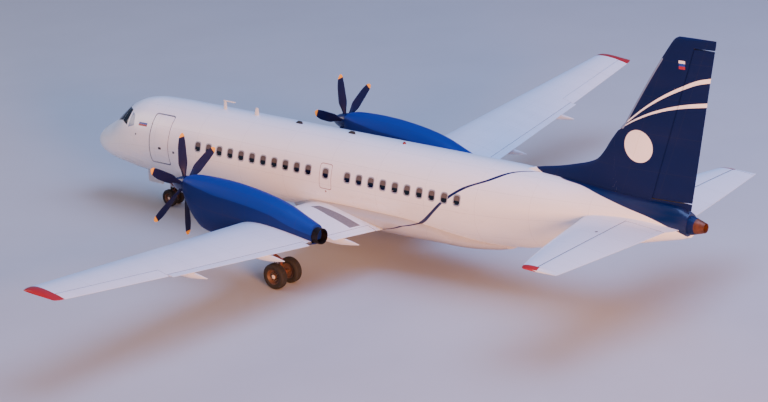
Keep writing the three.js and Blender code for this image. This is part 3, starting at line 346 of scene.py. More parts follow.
def section_angle(part, table, power=1.0):
    """The station of each point of a body of oval sections, and its angle round the section, up from
    the widest line on either side."""
    x, y, z = part["points"].T
    station = y - cad_low.y
    half, top, widest, bottom = smooth_rows(table, station, power).T
    rise = np.where(z > widest, top - widest, widest - bottom)
    return station, np.arctan2((z - widest) / np.maximum(rise, 1e-6), np.abs(x) / np.maximum(half, 1e-6))


def stripe_marks(station, angle, stripe):
    """Marks for the seams and the stripe: station, girth, distance from the stripe, its half width."""
    line, width = smooth_rows(stripe, np.degrees(angle)).T
    return {
        "station": station,
        "girth": angle * CABIN_RADIUS,
        "stripe": station - line,
        "stripe_half": width,
    }


def marked_skin(part):
    """Marks for the seams and the stripe, and the height under the navy tail's edge."""
    station, angle = section_angle(part, FUSELAGE, BLUNT)
    under = smooth_rows(NAVY_EDGE, station)[:, 0] - part["points"][:, 2]
    navy = np.where(station < NAVY_FROM, 1.0, under)
    part["marks"] = stripe_marks(station, angle, STRIPE) | {"navy": navy}
    return part


def box_part(low, high, finish=0):
    """A plain block between two corners, used to cut openings and for small flat-sided fittings."""
    (x0, y0, z0), (x1, y1, z1) = low, high
    ring = np.array([(x0, z0), (x1, z0), (x1, z1), (x0, z1)])
    rings = np.stack([np.column_stack([ring[:, 0], np.full(4, y), ring[:, 1]]) for y in (y0, y1)])
    return loft(rings, finish=finish)


def rounded(corners, radii, between=0):
    """A closed outline with round corners, each the quadratic Bezier curve between the points one
    radius before and after the corner. The straight sides get the points between them that a long
    smooth face needs, crowded at both ends."""
    corners = np.asarray(corners, float)
    reach = np.broadcast_to(np.asarray(radii, float), len(corners))[:, None]
    back = np.roll(corners, 1, axis=0) - corners
    on = np.roll(corners, -1, axis=0) - corners
    first = corners + reach * back / np.linalg.norm(back, axis=1, keepdims=True)
    last = corners + reach * on / np.linalg.norm(on, axis=1, keepdims=True)
    t = np.linspace(0, 1, 6)[None, :, None]
    curve = (1 - t) ** 2 * first[:, None] + 2 * t * (1 - t) * corners[:, None] + t ** 2 * last[:, None]
    share = (1 - np.cos(np.linspace(0, np.pi, between + 2)[1:-1]))[None, :, None] / 2
    straight = (1 - share) * last[:, None] + share * np.roll(first, -1, axis=0)[:, None]
    return np.concatenate([curve, straight], axis=1).reshape(-1, 2)


def divided(outline, step=0.07):
    """The closed outline with its long sides cut into equal lengths no longer than the step."""
    side = np.roll(outline, -1, axis=0) - outline
    count = np.ceil(np.linalg.norm(side, axis=1) / step).astype(int).clip(1)
    which = np.repeat(np.arange(len(outline)), count)
    share = (np.arange(len(which)) - np.repeat(np.cumsum(count) - count, count)) / count[which]
    return outline[which] + share[:, None] * side[which]


def rectangle(low_u, high_u, low_v, high_v, corner):
    """A rounded rectangle with points along its sides."""
    corners = [(low_u, low_v), (high_u, low_v), (high_u, high_v), (low_u, high_v)]
    return divided(rounded(corners, corner))


# The topcoat shines like wet china under its grime, with the stripe and the tail laid over it in navy
white_topcoat = gloss_paint(
    "white_polyurethane_topcoat", "F6F5F4",
    layers=(("0E1650", "stripe", "stripe_half"), ("011448", "navy")),
    seams=("station", 2.06, "girth", 0.86),
)
# Moulded trim is a warm pale grey, and chromate paint a dull grey-green, both with next to no shine
cabin_lining = plain_finish("cabin_trim_panel", "D8D2C4", "CFC8B8", 0.3, 0.6)
bay_primer = plain_finish("zinc_chromate_bay_paint", "8E9488", "7A8076", 0.12, 0.65)

# The doorway's stations and girths, its corners' radius, the distances from the cabin's axis that
# its walls pass, and how far from the aircraft's middle it ends
DOORWAY = {"from": 3.86, "to": 4.80, "low": -0.549, "high": 1.298, "corner": 0.11,
           "passes": (1.55, 1.25, 1.17), "inner": 0.64}
NOSE_BAY = {"half": 0.29, "from": 2.48, "to": 3.64, "floor": 0.9, "roof": 1.83}


def doorway_outline(gap=0.0):
    """The doorway's outline, or one that is smaller by a gap all round."""
    return rectangle(DOORWAY["from"] + gap, DOORWAY["to"] - gap, DOORWAY["low"] + gap,
                     DOORWAY["high"] - gap, DOORWAY["corner"] - gap)


def doorway_tool():
    """The doorway's outline taken straight in towards the cabin's axis, then across to its inner wall."""
    station, girth = doorway_outline().T
    angle = girth / CABIN_RADIUS
    depth = np.array(DOORWAY["passes"])[:, None]
    rings = np.stack(np.broadcast_arrays(
        depth * np.cos(angle), aft(station), CABIN_AXIS + depth * np.sin(angle)), -1)
    inner = rings[-1].copy()
    inner[:, 0] = DOORWAY["inner"]
    return loft(np.concatenate([rings, inner[None]]), finish=1)


for skin_name, start, end in SKIN_LENGTHS:
    rows = max(30, int((end - start) / SKIN_STEP))
    stations = np.linspace(math.sqrt(start), math.sqrt(end), rows)[:, None] ** 2
    skin = loft(oval(FUSELAGE, stations, ROUND[None], power=BLUNT))
    if skin_name == "fuselage_front":
        bay = box_part((-NOSE_BAY["half"], aft(NOSE_BAY["from"]), NOSE_BAY["floor"]),
                       (NOSE_BAY["half"], aft(NOSE_BAY["to"]), NOSE_BAY["roof"]), 2)
        skin = carve(skin, doorway_tool(), bay)
    piece(skin_name, [marked_skin(skin)], [white_topcoat, cabin_lining, bay_primer],
          "airframe", [skin_name])


# Passenger door
# A pressed aluminium panel in the left side, painted with the skin around it. It hangs on a
# goose-necked arm, closes on a dark rubber seal, and has a flush handle in its lower half.

def patch(place, outline, profile, loop=False, finish=0):
    """A thin closed body on a curved surface. The outline shrinks towards its middle by each share of
    the profile, and place sets the points at each height over the surface. The profile runs from the
    middle of the outer face over the rim to the middle of the inner face, or once round a frame."""
    middle = (outline.max(0) + outline.min(0)) / 2
    share, height = np.array(profile, float).T
    flat = middle + share[:, None, None] * (outline - middle)
    return loft(place(flat[..., 0], flat[..., 1], height[:, None]), "loop" if loop else "open", finish)


def panel_profile(thick, steps):
    """A panel's profile: flat rows out to a rounded rim, down its edge and back along the inner face."""
    rim = 0.004
    out = [(share, 0.0) for share in np.linspace(0, 0.985, steps)]
    edge = [(0.997, -rim * 0.3), (1.0, -rim), (1.0, rim - thick), (0.997, -thick)]
    return out + edge + [(share, -thick) for share in np.linspace(0.97, 0, steps)]


DOOR_GAP = 0.012
DOOR_THICK = 0.040
# The arm's pivot in the doorway, its reach back to the door and out, and half its width and height
ARM = {"x": 1.28, "station": 3.925, "z": 2.66, "reach": 0.5, "outward": 0.07, "half": 0.018,
       "half_height": 0.03}
FORK_PLATE = {"margin": 0.014, "gap": 0.0004, "thick": 0.016}
# Stations, girths and the corners' radius
HANDLE = (4.31, 4.46, 0.0, 0.085, 0.03)
HANDLE_PROFILE = [(0, 0.002), (0.9, 0.002), (1.0, 0.0), (1.0, -0.01), (0, -0.01)]
SEAL_PROFILE = [(1.004, 0.003), (1.004, -0.05), (0.996, -0.05), (0.996, -0.006)]
MARKING_PROFILE = [(1.042, 0.0012), (1.042, -0.003), (1.006, -0.003), (1.006, 0.0012)]


def fork_parts(x, station, reach_x, reach_station):
    """Two plates above and below the arm's eye, from the pivot out to what carries them."""
    wide = ARM["half"] + FORK_PLATE["margin"]
    low_x, high_x = min(x - wide, reach_x), max(x + wide, reach_x)
    low_y, high_y = min(station - wide, reach_station), max(station + wide, reach_station)
    away = ARM["half_height"] + FORK_PLATE["gap"]
    return [
        box_part((low_x, aft(low_y), low_z), (high_x, aft(high_y), low_z + FORK_PLATE["thick"]))
        for low_z in (ARM["z"] + away, ARM["z"] - away - FORK_PLATE["thick"])]


def refinish(node, finish):
    """Gives a part of the frame that stays in sight a finish of its own."""
    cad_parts[node].data.materials.clear()
    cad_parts[node].data.materials.append(finish)


# Moulded rubber is near black and matt, the line round the doorway a flat mid-grey film, and
# enamelled steel a smooth grey with a soft sheen
black_rubber = plain_finish("moulded_black_rubber", "1A1A1C", "232325", 0.02, 0.7)
outline_grey = plain_finish("grey_exit_marking", "6E7886", "666F7C", 0.05, 0.45)
gear_grey = plain_finish("enamelled_gear_steel", "8C8E92", "7C7E82", 0.08, 0.42, 0.3)
door_panel = marked_skin(patch(skin_place, doorway_outline(DOOR_GAP), panel_profile(DOOR_THICK, 14)))
arm_end = ARM["station"] + ARM["reach"]
door_fork = fork_parts(ARM["x"] + ARM["outward"], arm_end, CABIN_RADIUS - 0.035, arm_end)
handle = patch(skin_place, rectangle(*HANDLE), HANDLE_PROFILE, finish=1)
piece("passenger_door_panel", [door_panel, *door_fork, handle], [white_topcoat, black_rubber],
      "passenger_door", ["passenger_door"])
seal = patch(skin_place, doorway_outline(), SEAL_PROFILE, loop=True)
piece("doorway_seal", [seal], [black_rubber], "airframe")
marking = patch(skin_place, doorway_outline(), MARKING_PROFILE, loop=True)
piece("doorway_marking", [marking], [outline_grey], "airframe")
post_fork = fork_parts(ARM["x"], ARM["station"], ARM["x"], DOORWAY["from"] - 0.02)
piece("doorway_fork", post_fork, [gear_grey], "airframe")
refinish("passenger_door_arm", gear_grey)


# Cabin windows
# Two stretched acrylic panes in an aluminium ring, behind a moulded lining. Each pane is drawn
# grey-brown above a line and black below it, the black lower part painted shade.

def acrylic(name, colour, blind, mark):
    """Glossy stretched acrylic over a dark cabin: the first colour below the mark's line, there as painted
    shade, and the other colour above it.
    """
    material = blank_material(name)
    tree = material.node_tree
    value = add_node(tree, "Attribute", attribute_name=mark).outputs["Fac"]
    above = add_node(tree, "MapRange", {"Value": value, 1: -0.03, 2: 0.03}).outputs[0]
    mixed = add_node(tree, "Mix", {0: above, 6: linear(colour), 7: linear(blind)}, data_type="RGBA")
    shader = add_node(tree, "BsdfPrincipled", {
        "Base Color": mixed.outputs[2], "Roughness": 0.08, "Coat Weight": 0.6, "Coat Roughness": 0.03,
    })
    add_node(tree, "OutputMaterial", {"Surface": shader.outputs[0]})
    return material


def girth_at(height):
    """Distance round the cabin's side at a height."""
    return math.asin((height - CABIN_AXIS) / CABIN_RADIUS) * CABIN_RADIUS


def mirrored(part, sign):
    """The part as it is, or its mirror image on the right."""
    return {**part, "points": part["points"] * (sign, 1, 1)}


def both_sides(parts):
    """The parts of the left side, and then their mirror images."""
    return [mirrored(part, sign) for _, sign in SIDES for part in parts]


def piece_pair(name, parts, finishes, body, slot, *replaced, crease=35):
    """A piece on the left side and its mirror image on the right. The name of a piece, body or node
    that ends in an underscore goes on with the side."""
    for side, sign in SIDES:
        names = [word + side if word.endswith("_") else word for word in (name, body, *replaced)]
        sided = [mirrored(part, sign) for part in parts]
        piece(names[0], sided, finishes, names[1], names[2:], crease)


SIDES = (("left", 1), ("right", -1))
EXIT = {"from": 11.95, "to": 12.48, "low": 2.50, "high": 3.36}
# One row of windows ahead of the exit, the exit's own, and one row behind it
WINDOW_PITCH = 0.5165
FIRST_WINDOWS = 6.27 + WINDOW_PITCH * np.arange(11)
LAST_WINDOWS = 13.17 + WINDOW_PITCH * np.arange(10)
WINDOW_STATIONS = np.concatenate([FIRST_WINDOWS, [(EXIT["from"] + EXIT["to"]) / 2], LAST_WINDOWS])
WINDOW_GIRTH = girth_at(3.045)
WINDOW = {"half_width": 0.115, "half_height": 0.165, "corner": 0.085, "ring": 0.035}
# How far below each pane's middle the painted shade's edge lies, as shares of half a window's height, in
# turn along the cabin
PAINTED_SHADE_DROPS = (0.02, 0.05, 0.0, 0.03)
# The share of a ring's outline that is its inner edge, and the profiles of ring and pane
RING_INNER = 1 - WINDOW["ring"] / (WINDOW["half_width"] + WINDOW["ring"])
RING_PROFILE = [(1.0, -0.01), (1.0, 0.001), (0.97, 0.004), (RING_INNER + 0.06, 0.004),
                (RING_INNER, -0.001), (RING_INNER, -0.01)]
WINDOW_PROFILE = [(0, 0.001), (0.5, 0.001), (1.02, 0.0), (1.04, -0.01), (0, -0.01)]


def window_outline(station, rim):
    """A window's rounded rectangle, wider than the pane by a rim all round."""
    half_width, half_height = WINDOW["half_width"] + rim, WINDOW["half_height"] + rim
    return rectangle(station - half_width, station + half_width, WINDOW_GIRTH - half_height,
                     WINDOW_GIRTH + half_height, WINDOW["corner"] + rim)


# The acrylic mirrors the sky over a black cabin, grey-brown above a line and black below it as painted
# shade, and the anodised ring is satin silver
pane_acrylic = acrylic("stretched_acrylic_pane", "08090B", "5E564E", "blind")
ring_metal = plain_finish("anodised_window_ring", "BFC0C2", "B2B3B6", 0.05, 0.35, 0.6)
rings, panes = [], []
for number, station in enumerate(WINDOW_STATIONS):
    rings.append(patch(skin_place, window_outline(station, WINDOW["ring"]), RING_PROFILE, loop=True))
    pane = patch(skin_place, window_outline(station, 0.0), WINDOW_PROFILE)
    girth = np.arctan2(pane["points"][:, 2] - CABIN_AXIS, pane["points"][:, 0]) * CABIN_RADIUS
    drop = PAINTED_SHADE_DROPS[number % len(PAINTED_SHADE_DROPS)]
    # The mark is the height over the painted shade's edge, as a share of half the window's height
    pane["marks"] = {"blind": (girth - WINDOW_GIRTH) / WINDOW["half_height"] + drop}
    panes.append(pane)
piece_pair("cabin_window_rings_", rings, [ring_metal], "airframe", "white_paint")
piece_pair("cabin_window_panes_", panes, [pane_acrylic], "airframe", "engine_casing")


# Cockpit glazing
# Laminated glass panes, heated by a clear metal film, bolted in black-edged frames round the
# flight deck: a pair in front, one on each quarter, a sliding one and a rear one on each side.

# Each pane's corners as station and angle in degrees round the section
COCKPIT_PANES = {
    "windscreen": [(1.44, 86.5), (2.05, 87.5), (2.03, 71.0), (1.57, 57.0)],
    "quarter": [(1.66, 51.0), (2.07, 67.5), (2.26, 60.5), (2.08, 41.0)],
    "sliding": [(2.12, 39.5), (2.30, 59.5), (2.48, 54.0), (2.46, 30.0)],
    "rear": [(2.58, 25.5), (2.61, 50.0), (2.79, 44.5), (2.92, 28.5)],
}
PANE_PROFILE = [(share, 0.004) for share in (0, 0.3, 0.6, 0.85)] + [(1.0, 0.003), (1.0, -0.02), (0, -0.02)]
SEALANT_PROFILE = [(1.0, -0.02), (1.0, 0.006), (1.05, 0.006), (1.10, 0.002), (1.10, -0.02)]
# The heated glass is black and mirror smooth, the rear pane's film a pale blue-grey, and the
# sealant that beds the glass dull and black
cockpit_glass = plain_finish("laminated_heated_glass", "07080B", "0D1016", 0.5, 0.06)
side_glass = plain_finish("pale_coated_side_glass", "8592A6", "95A2B4", 0.2, 0.12)
sealant = plain_finish("black_polysulphide_sealant", "131315", "1B1B1D", 0.03, 0.55)
cockpit_parts = []
for pane_name, corners in COCKPIT_PANES.items():
    outline = np.array(corners) * (1, math.radians(1) * CABIN_RADIUS)
    outline = divided(rounded(outline, 0.045), 0.05)
    cockpit_parts.append(patch(skin_place, outline, PANE_PROFILE, finish=1 if pane_name == "rear" else 0))
    if pane_name != "rear":
        cockpit_parts.append(patch(skin_place, outline, SEALANT_PROFILE, loop=True, finish=2))
piece("cockpit_glazing", both_sides(cockpit_parts), [cockpit_glass, side_glass, sealant],
      "airframe")


# Markings and small fittings on the cabin's side
# Painted or stuck on the skin: a flag of three stripes by the flight deck, the outline of the
# emergency exit and its catch, and static ports.

# A film is about as thick as three coats of paint, so that it covers the one below, and its edge is
# taken down into the skin
FILM = 0.0015
FILM_FOOT = -0.004


def decal(outline, finish):
    """A film on the skin."""
    profile = [(0, FILM), (0.5, FILM), (0.97, FILM), (1.0, FILM / 2), (1.0, FILM_FOOT), (0, FILM_FOOT)]
    return patch(skin_place, outline, profile, finish=finish)


def thin_frame(outline, width, finish):
    """A painted line of even width inside an outline. The shares differ along and across, so it is
    a little wider on the longer way."""
    share = 1 - width / ((outline.max(0) - outline.min(0)).max() / 2)
    profile = [(1.0, FILM_FOOT), (1.0, FILM), (share, FILM), (share, FILM_FOOT)]
    return patch(skin_place, outline, profile, loop=True, finish=finish)


# Printed films are smooth and even with a soft gloss, and the static ports' plates are bare metal
decal_white = plain_finish("white_film", "F2F2F2", "E6E6E6", 0.05, 0.3)
decal_blue = plain_finish("blue_film", "1B3F9E", "17368A", 0.05, 0.3)
decal_red = plain_finish("red_film", "9E2431", "8C1E2A", 0.05, 0.3)
exit_line = plain_finish("red_brown_exit_line", "8A4A42", "7C403A", 0.05, 0.35)
port_metal = plain_finish("bare_static_port", "6E6E70", "5C5C5E", 0.02, 0.4, 0.8)
FLAG = {"from": 3.17, "to": 3.61, "low": 0.725, "high": 0.925}
# Round and square spots, as stations, girths, corner radius and finish: the exit's catch and the
# plates of the static ports
CATCH_GIRTH = girth_at(2.38)
SPOTS = (
    (12.17, 12.24, CATCH_GIRTH, CATCH_GIRTH + 0.07, 0.034, 3),
    (3.06, 3.13, 0.37, 0.44, 0.034, 4),
    (5.02, 5.12, -0.05, 0.03, 0.02, 4),
)
band = (FLAG["high"] - FLAG["low"]) / 3
bands = [rectangle(FLAG["from"], FLAG["to"], FLAG["high"] - (i + 1) * band, FLAG["high"] - i * band, 0.002)
         for i in range(3)]
exit_outline = rectangle(EXIT["from"], EXIT["to"], girth_at(EXIT["low"]), girth_at(EXIT["high"]), 0.10)
markings = [decal(outline, finish) for finish, outline in enumerate(bands)]
markings.append(thin_frame(exit_outline, 0.022, 3))
markings += [decal(rectangle(*place), finish) for *place, finish in SPOTS]
piece("cabin_side_markings", both_sides(markings),
      [decal_white, decal_blue, decal_red, exit_line, port_metal], "airframe")


# Belly fairing
# Glass fibre panels screwed over the wing's centre section, faired into the fuselage and painted
# with it. The stripe from the tail runs on along its upper edge.

# Columns: station, half width, top, height of the widest point, bottom
BELLY = np.array([
    (10.05, 0.700, 1.600, 1.460, 1.262),
    (10.30, 0.900, 1.700, 1.500, 1.215),
    (10.90, 1.180, 2.050, 1.640, 1.130),
    (11.50, 1.430, 2.150, 1.760, 1.080),
    (13.00, 1.540, 2.150, 1.800, 1.065),
    (15.20, 1.520, 2.150, 1.800, 1.065),
    (16.20, 1.400, 2.100, 1.740, 1.075),
    (17.60, 1.150, 1.900, 1.560, 1.085),
    (18.70, 0.800, 1.650, 1.480, 1.180),
    (19.20, 0.600, 1.600, 1.470, 1.290),
])
# The stripe here: angle round the section, station, half width along it
BELLY_STRIPE = np.array([
    (-40, 13.90, 0.05), (-9, 15.26, 0.06), (8, 15.71, 0.06), (28, 16.09, 0.06), (50, 16.40, 0.06)])
belly_stations = np.linspace(BELLY[0, 0], BELLY[-1, 0], 110)[:, None]
belly = loft(oval(BELLY, belly_stations, ROUND[None]))
belly["marks"] = stripe_marks(*section_angle(belly, BELLY), BELLY_STRIPE)
piece("belly_fairing_panels", [belly], [white_topcoat], "airframe", ["belly_fairing"])


# Wings
# A box of machined aluminium skins and two spars, the fuel tank inside, painted pale grey all
# over. The upper skin runs on over the flaps as a thin shroud.

HALF_SPAN = cad_high.x
# Straight lines along the span: the value on the aircraft's centreline and at the tip. The edges and
# the hinge are stations, the thickness and the shroud's end are shares of the chord, and the last
# is the share of its full drop that the flap's hinge has.
WING_LINES = {
    "leading": (10.95, 12.05),
    "trailing": (14.76, 13.50),
    "flap_trailing": (14.7206, 13.7151),
    "aileron_hinge": (14.0940, 13.1165),
    "height": (1.49, 3.22),
    "thickness": (0.16, 0.12),
    "shroud_end": (0.8751, 0.9740),
    "flap_drop": (1.0, 0.66),
}
WING_ROOT = 1.0
INCIDENCE = math.radians(2.5)
CAMBER = 0.02
CAMBER_PEAK = 0.4
# Half the thickness of a trailing edge, and the chord on which the seams are spaced
EDGE_HALF = 0.003
SEAM_CHORD = 4.0
# The cap starts at a place along the span and is round from another one out. There its chord loses
# a share about a pivot, and it turns down by degrees to the thinnest share of its thickness.
TIP_CAP = {"from": 14.652, "round_from": 14.74, "narrowing": 0.14, "pivot": 0.45, "turn": 86,
           "thinnest": 0.07}
# How far the shapes that cut the coves reach past the skin
BEYOND = 0.6


def wing_line(name, x):
    """The value of one of the wing's straight lines at x."""
    root, tip = WING_LINES[name]
    return root + (tip - root) * x / HALF_SPAN


def wing_chord(x):
    """The wing's chord at x."""
    return wing_line("trailing", x) - wing_line("leading", x)


def half_thickness(u, share):
    """Half the thickness of a four-digit aerofoil at a share u of its chord."""
    curve = 0.2969 * np.sqrt(u) - 0.126 * u - 0.3516 * u ** 2 + 0.2843 * u ** 3 - 0.1036 * u ** 4
    return 5 * share * curve


def wing_face(x, u, side):
    """Height over the chord line of the upper face (side 1) or the lower one (side -1): the camber,
    two parabolas that meet at its peak, plus or minus half the thickness."""
    front = (2 * CAMBER_PEAK * u - u * u) / CAMBER_PEAK ** 2
    rear = (1 - 2 * CAMBER_PEAK + 2 * CAMBER_PEAK * u - u * u) / (1 - CAMBER_PEAK) ** 2
    middle = CAMBER * np.where(u < CAMBER_PEAK, front, rear)
    half = half_thickness(u, wing_line("thickness", x))
    return wing_chord(x) * (middle + side * half) + side * EDGE_HALF * u


def wing_point(x, u, v):
    """A place on the wing: u is a share of the chord and v a height square to it."""
    along = u * wing_chord(x)
    y = aft(wing_line("leading", x)) + along * math.cos(INCIDENCE) + v * math.sin(INCIDENCE)
    z = wing_line("height", x) - along * math.sin(INCIDENCE) + v * math.cos(INCIDENCE)
    return np.stack(np.broadcast_arrays(x, y, z), -1)


def chord_shares(count):
    """Shares of the chord that crowd at both edges, like the shadows of even steps on a circle."""
    return (1 - np.cos(np.linspace(0, np.pi, count))) / 2


def wing_rings(xs, chord_scale=1.0, thickness_scale=1.0):
    """Whole sections of the wing, from the trailing edge over the top to the nose and back below."""
    count = 34
    u = chord_shares(count)
    shares = np.concatenate([u[::-1], u[1:]])
    side = np.concatenate([np.ones(count), -np.ones(count - 1)])
    side[count - 1] = 0
    x = np.asarray(xs, float)[:, None]
    v = wing_face(x, shares, side) * np.asarray(thickness_scale).reshape(-1, 1)
    u = TIP_CAP["pivot"] + (shares - TIP_CAP["pivot"]) * np.asarray(chord_scale).reshape(-1, 1)
    return wing_point(x, u, v)


def marked_wing(part):
    """Marks for the seams: place along the span, and behind the leading edge as on one even chord."""
    x, y, _ = part["points"].T
    span = np.abs(x)
    u = (y - aft(wing_line("leading", span))) / wing_chord(span)
    part["marks"].update({"span": span, "chordwise": u * SEAM_CHORD})
    return part


# The share of the chord where a flap's nose is, the shroud's thickness, and the gap under it
FLAP_NOSE = 0.745
SHROUD_SKIN = 0.018
FLAP_GAP = 0.012
FLAP_SPANS = {"inner": (1.715, 3.70), "outer": (4.78, 10.61)}
FLAP_END_GAP = 0.015
FLAP_HINGE = {"chord": 0.74, "drop": 0.33}
AILERON_SPAN = (10.65, 14.64)
AILERON_GAP = 0.006
AILERON_END_GAPS = (0.01, 0.0119)
# The trailing edge is cut away behind the exhaust, between the flaps
EXHAUST_ROOM = {"from": 14.2, "to": 15.8, "floor": 1.5, "roof": 2.9, "lap": 0.03}
# The walkway's corners: place along the span, share of the chord
WALKWAY = [(1.72, 0.30), (1.98, 0.25), (2.28, 0.55), (2.43, 0.865), (1.92, 0.865), (1.80, 0.58)]


def flap_hinge(x):
    """The flap's hinge line hangs below the wing, less towards the tip."""
    return wing_point(x, FLAP_HINGE["chord"], -FLAP_HINGE["drop"] * wing_line("flap_drop", x))


flap_axis = flap_hinge(10.0) - flap_hinge(2.0)
flap_axis /= np.linalg.norm(flap_axis)


def square_rings(xs, section):
    """Rings of a section given in metres behind the leading edge and over the chord, each in the
    plane square to the flap's hinge line. A point slides along the span until it is in that plane."""
    rings = []
    for place in xs:
        along, v = section(place).T
        u = along / wing_chord(place)
        x = np.full(len(u), float(place))
        for _ in range(3):
            x = x - (wing_point(x, u, v) - flap_hinge(place)) @ flap_axis / flap_axis[0]
        rings.append(wing_point(x, u, v))
    return np.array(rings)


def cove_section(x):
    """The hollow that the flap nests in, and all that is behind the shroud."""
    cove, end = FLAP_NOSE - 0.02, wing_line("shroud_end", x)
    middle = (cove + end) / 2
    under = [wing_face(x, u, 1) - SHROUD_SKIN for u in (cove, middle, end)]
    corners = [(cove, -BEYOND), (cove, under[0]), (middle, under[1]), (end, under[2]), (end, BEYOND),
               (1.3, BEYOND), (1.3, -BEYOND)]
    radii = [0.001, 0.06, 0.05, 0.001, 0.001, 0.001, 0.001]
    return rounded(np.array(corners) * (wing_chord(x), 1), radii)


def round_nose(hinge, middle, radius):
    """The half circle ahead of a hinge, from its foot to its top."""
    angle = np.radians(np.linspace(270, 90, 13))
    return np.column_stack([hinge + radius * np.cos(angle), middle + radius * np.sin(angle)])


def hinged_section(hinge, middle, radius, end, over, under):
    """A control surface's section: half a circle in front of the hinge, then both faces back to the
    trailing edge. over and under give a face's height at a distance along the section."""
    back = hinge + (end - hinge) * np.linspace(0.04, 1, 12)
    top = np.column_stack([back, over(back)])
    bottom = np.column_stack([back, under(back)])
    return np.vstack([round_nose(hinge, middle, radius), top, bottom[::-1]])


def cove_for(hinge, middle, radius, end):
    """What a control surface's room takes out of the surface ahead of it: its nose's half circle and
    everything behind the hinge."""
    behind = [(hinge, BEYOND), (end, BEYOND), (end, -BEYOND), (hinge, -BEYOND)]
    return np.vstack([round_nose(hinge, middle, radius), behind])


def aileron_hinge(x):
    """The aileron's hinge: its distance behind the leading edge, its height and half the thickness."""
    along = (wing_line("aileron_hinge", x) - wing_line("leading", x)) / math.cos(INCIDENCE)
    faces = [wing_face(x, along / wing_chord(x), side) for side in (1, -1)]
    return along, sum(faces) / 2, (faces[0] - faces[1]) / 2


def aileron_room(x):
    """The section of the aileron's room in the wing."""
    along, middle, radius = aileron_hinge(x)
    return cove_for(along, middle, radius + AILERON_GAP, 1.3 * wing_chord(x))


def aileron_section(x):
    """The aileron's own section."""
    along, middle, radius = aileron_hinge(x)
    faces = [lambda back, side=side: wing_face(x, back / wing_chord(x), side) for side in (1, -1)]
    return hinged_section(along, middle, radius, wing_chord(x), *faces)


def plain_rings(xs, section):
    """Rings of a section in upright planes along the flight path."""
    return np.array([wing_point(x, section(x)[:, 0] / wing_chord(x), section(x)[:, 1]) for x in xs])


# The wing's gloss is a shade bluer than the fuselage and shows its seams, the cap's is a clean deep
# red, the coves' paint is dull, and the walkway is coarse grit set in paint, with no shine at all
wing_paint = gloss_paint("pale_grey_polyurethane_gloss", "E4E8EE", roughness=0.3,
                         seams=("span", 1.9, "chordwise", 0.96))
tip_red = gloss_paint("red_polyurethane_gloss", "A80F18", dirt=0.03)
dark_cove = plain_finish("grey_cove_paint", "5A5D60", "4C4F52", 0.1, 0.6)
walkway_grit = plain_finish("grit_walkway_coating", "7C7674", "6E6866", 0.05, 0.85)

whole_wing = loft(wing_rings(np.linspace(WING_ROOT, TIP_CAP["from"] - 0.0005, 46)))
exhaust_room = box_part(
    (FLAP_SPANS["inner"][1] - EXHAUST_ROOM["lap"], aft(EXHAUST_ROOM["from"]), EXHAUST_ROOM["floor"]),
    (FLAP_SPANS["outer"][0] + EXHAUST_ROOM["lap"], aft(EXHAUST_ROOM["to"]), EXHAUST_ROOM["roof"]), 1)
flap_coves = [
    loft(square_rings(np.linspace(start - FLAP_END_GAP, end + FLAP_END_GAP, 12), cove_section), finish=1)
    for start, end in FLAP_SPANS.values()]
aileron_xs = np.linspace(AILERON_SPAN[0] - AILERON_END_GAPS[0], AILERON_SPAN[1] + AILERON_END_GAPS[1], 6)
aileron_cove = loft(plain_rings(aileron_xs, aileron_room), finish=1)
cut_wing = marked_wing(carve(whole_wing, *flap_coves, exhaust_room, aileron_cove))
tip_turn = np.radians(np.concatenate([[0, 0], np.linspace(6, TIP_CAP["turn"], 12)]))
tip_length = (HALF_SPAN - TIP_CAP["round_from"]) / math.sin(math.radians(TIP_CAP["turn"]))
tip_xs = TIP_CAP["round_from"] + tip_length * np.sin(tip_turn)
tip_xs[0] = TIP_CAP["from"]
tip_chord = 1 - TIP_CAP["narrowing"] * (1 - np.cos(tip_turn))
tip_thickness = np.maximum(np.cos(tip_turn), TIP_CAP["thinnest"])
tip_cap = marked_wing(loft(wing_rings(tip_xs, tip_chord, tip_thickness)))
walkway = patch(
    lambda x, u, lift: wing_point(x, u, wing_face(x, u, 1) + lift), divided(np.array(WALKWAY), 0.04),
    [(share, 0.0012) for share in np.linspace(0, 0.99, 10)] + [(1.0, -0.004), (0, -0.004)])
piece_pair("wing_skin_", [cut_wing], [wing_paint, dark_cove], "airframe", "grey_paint", "wing_")
piece_pair("wing_tip_cap_", [tip_cap], [tip_red], "airframe", "red_paint", "wing_tip_")
piece_pair("wing_walkway_", [walkway], [walkway_grit], "airframe", "grey_paint")


# Flaps and ailerons
# Aluminium ribs under thin skins. Each flap turns about brackets at the foot of its track fairings,
# which are split there, and each aileron about pins in its nose.

# Where each flap's fairings are along the span
FAIRING_PLACES = {"inner": (3.13,), "outer": (6.45, 9.7)}
# A flap track fairing: share of its length, half width, half height
FAIRING = np.array([
    (0.00, 0.012, 0.012), (0.12, 0.050, 0.066), (0.34, 0.084, 0.140),
    (0.60, 0.078, 0.150), (0.82, 0.048, 0.096), (1.00, 0.010, 0.014)])
# How far a fairing reaches from the hinge and is above it, and the share cut out where it splits
FAIRING_REACH = {"forward": 1.05, "aft": 1.56, "lift": 0.124, "split": 0.026}
FAIRING_LENGTH = FAIRING_REACH["forward"] + FAIRING_REACH["aft"]
FAIRING_HINGE = FAIRING_REACH["forward"] / FAIRING_LENGTH


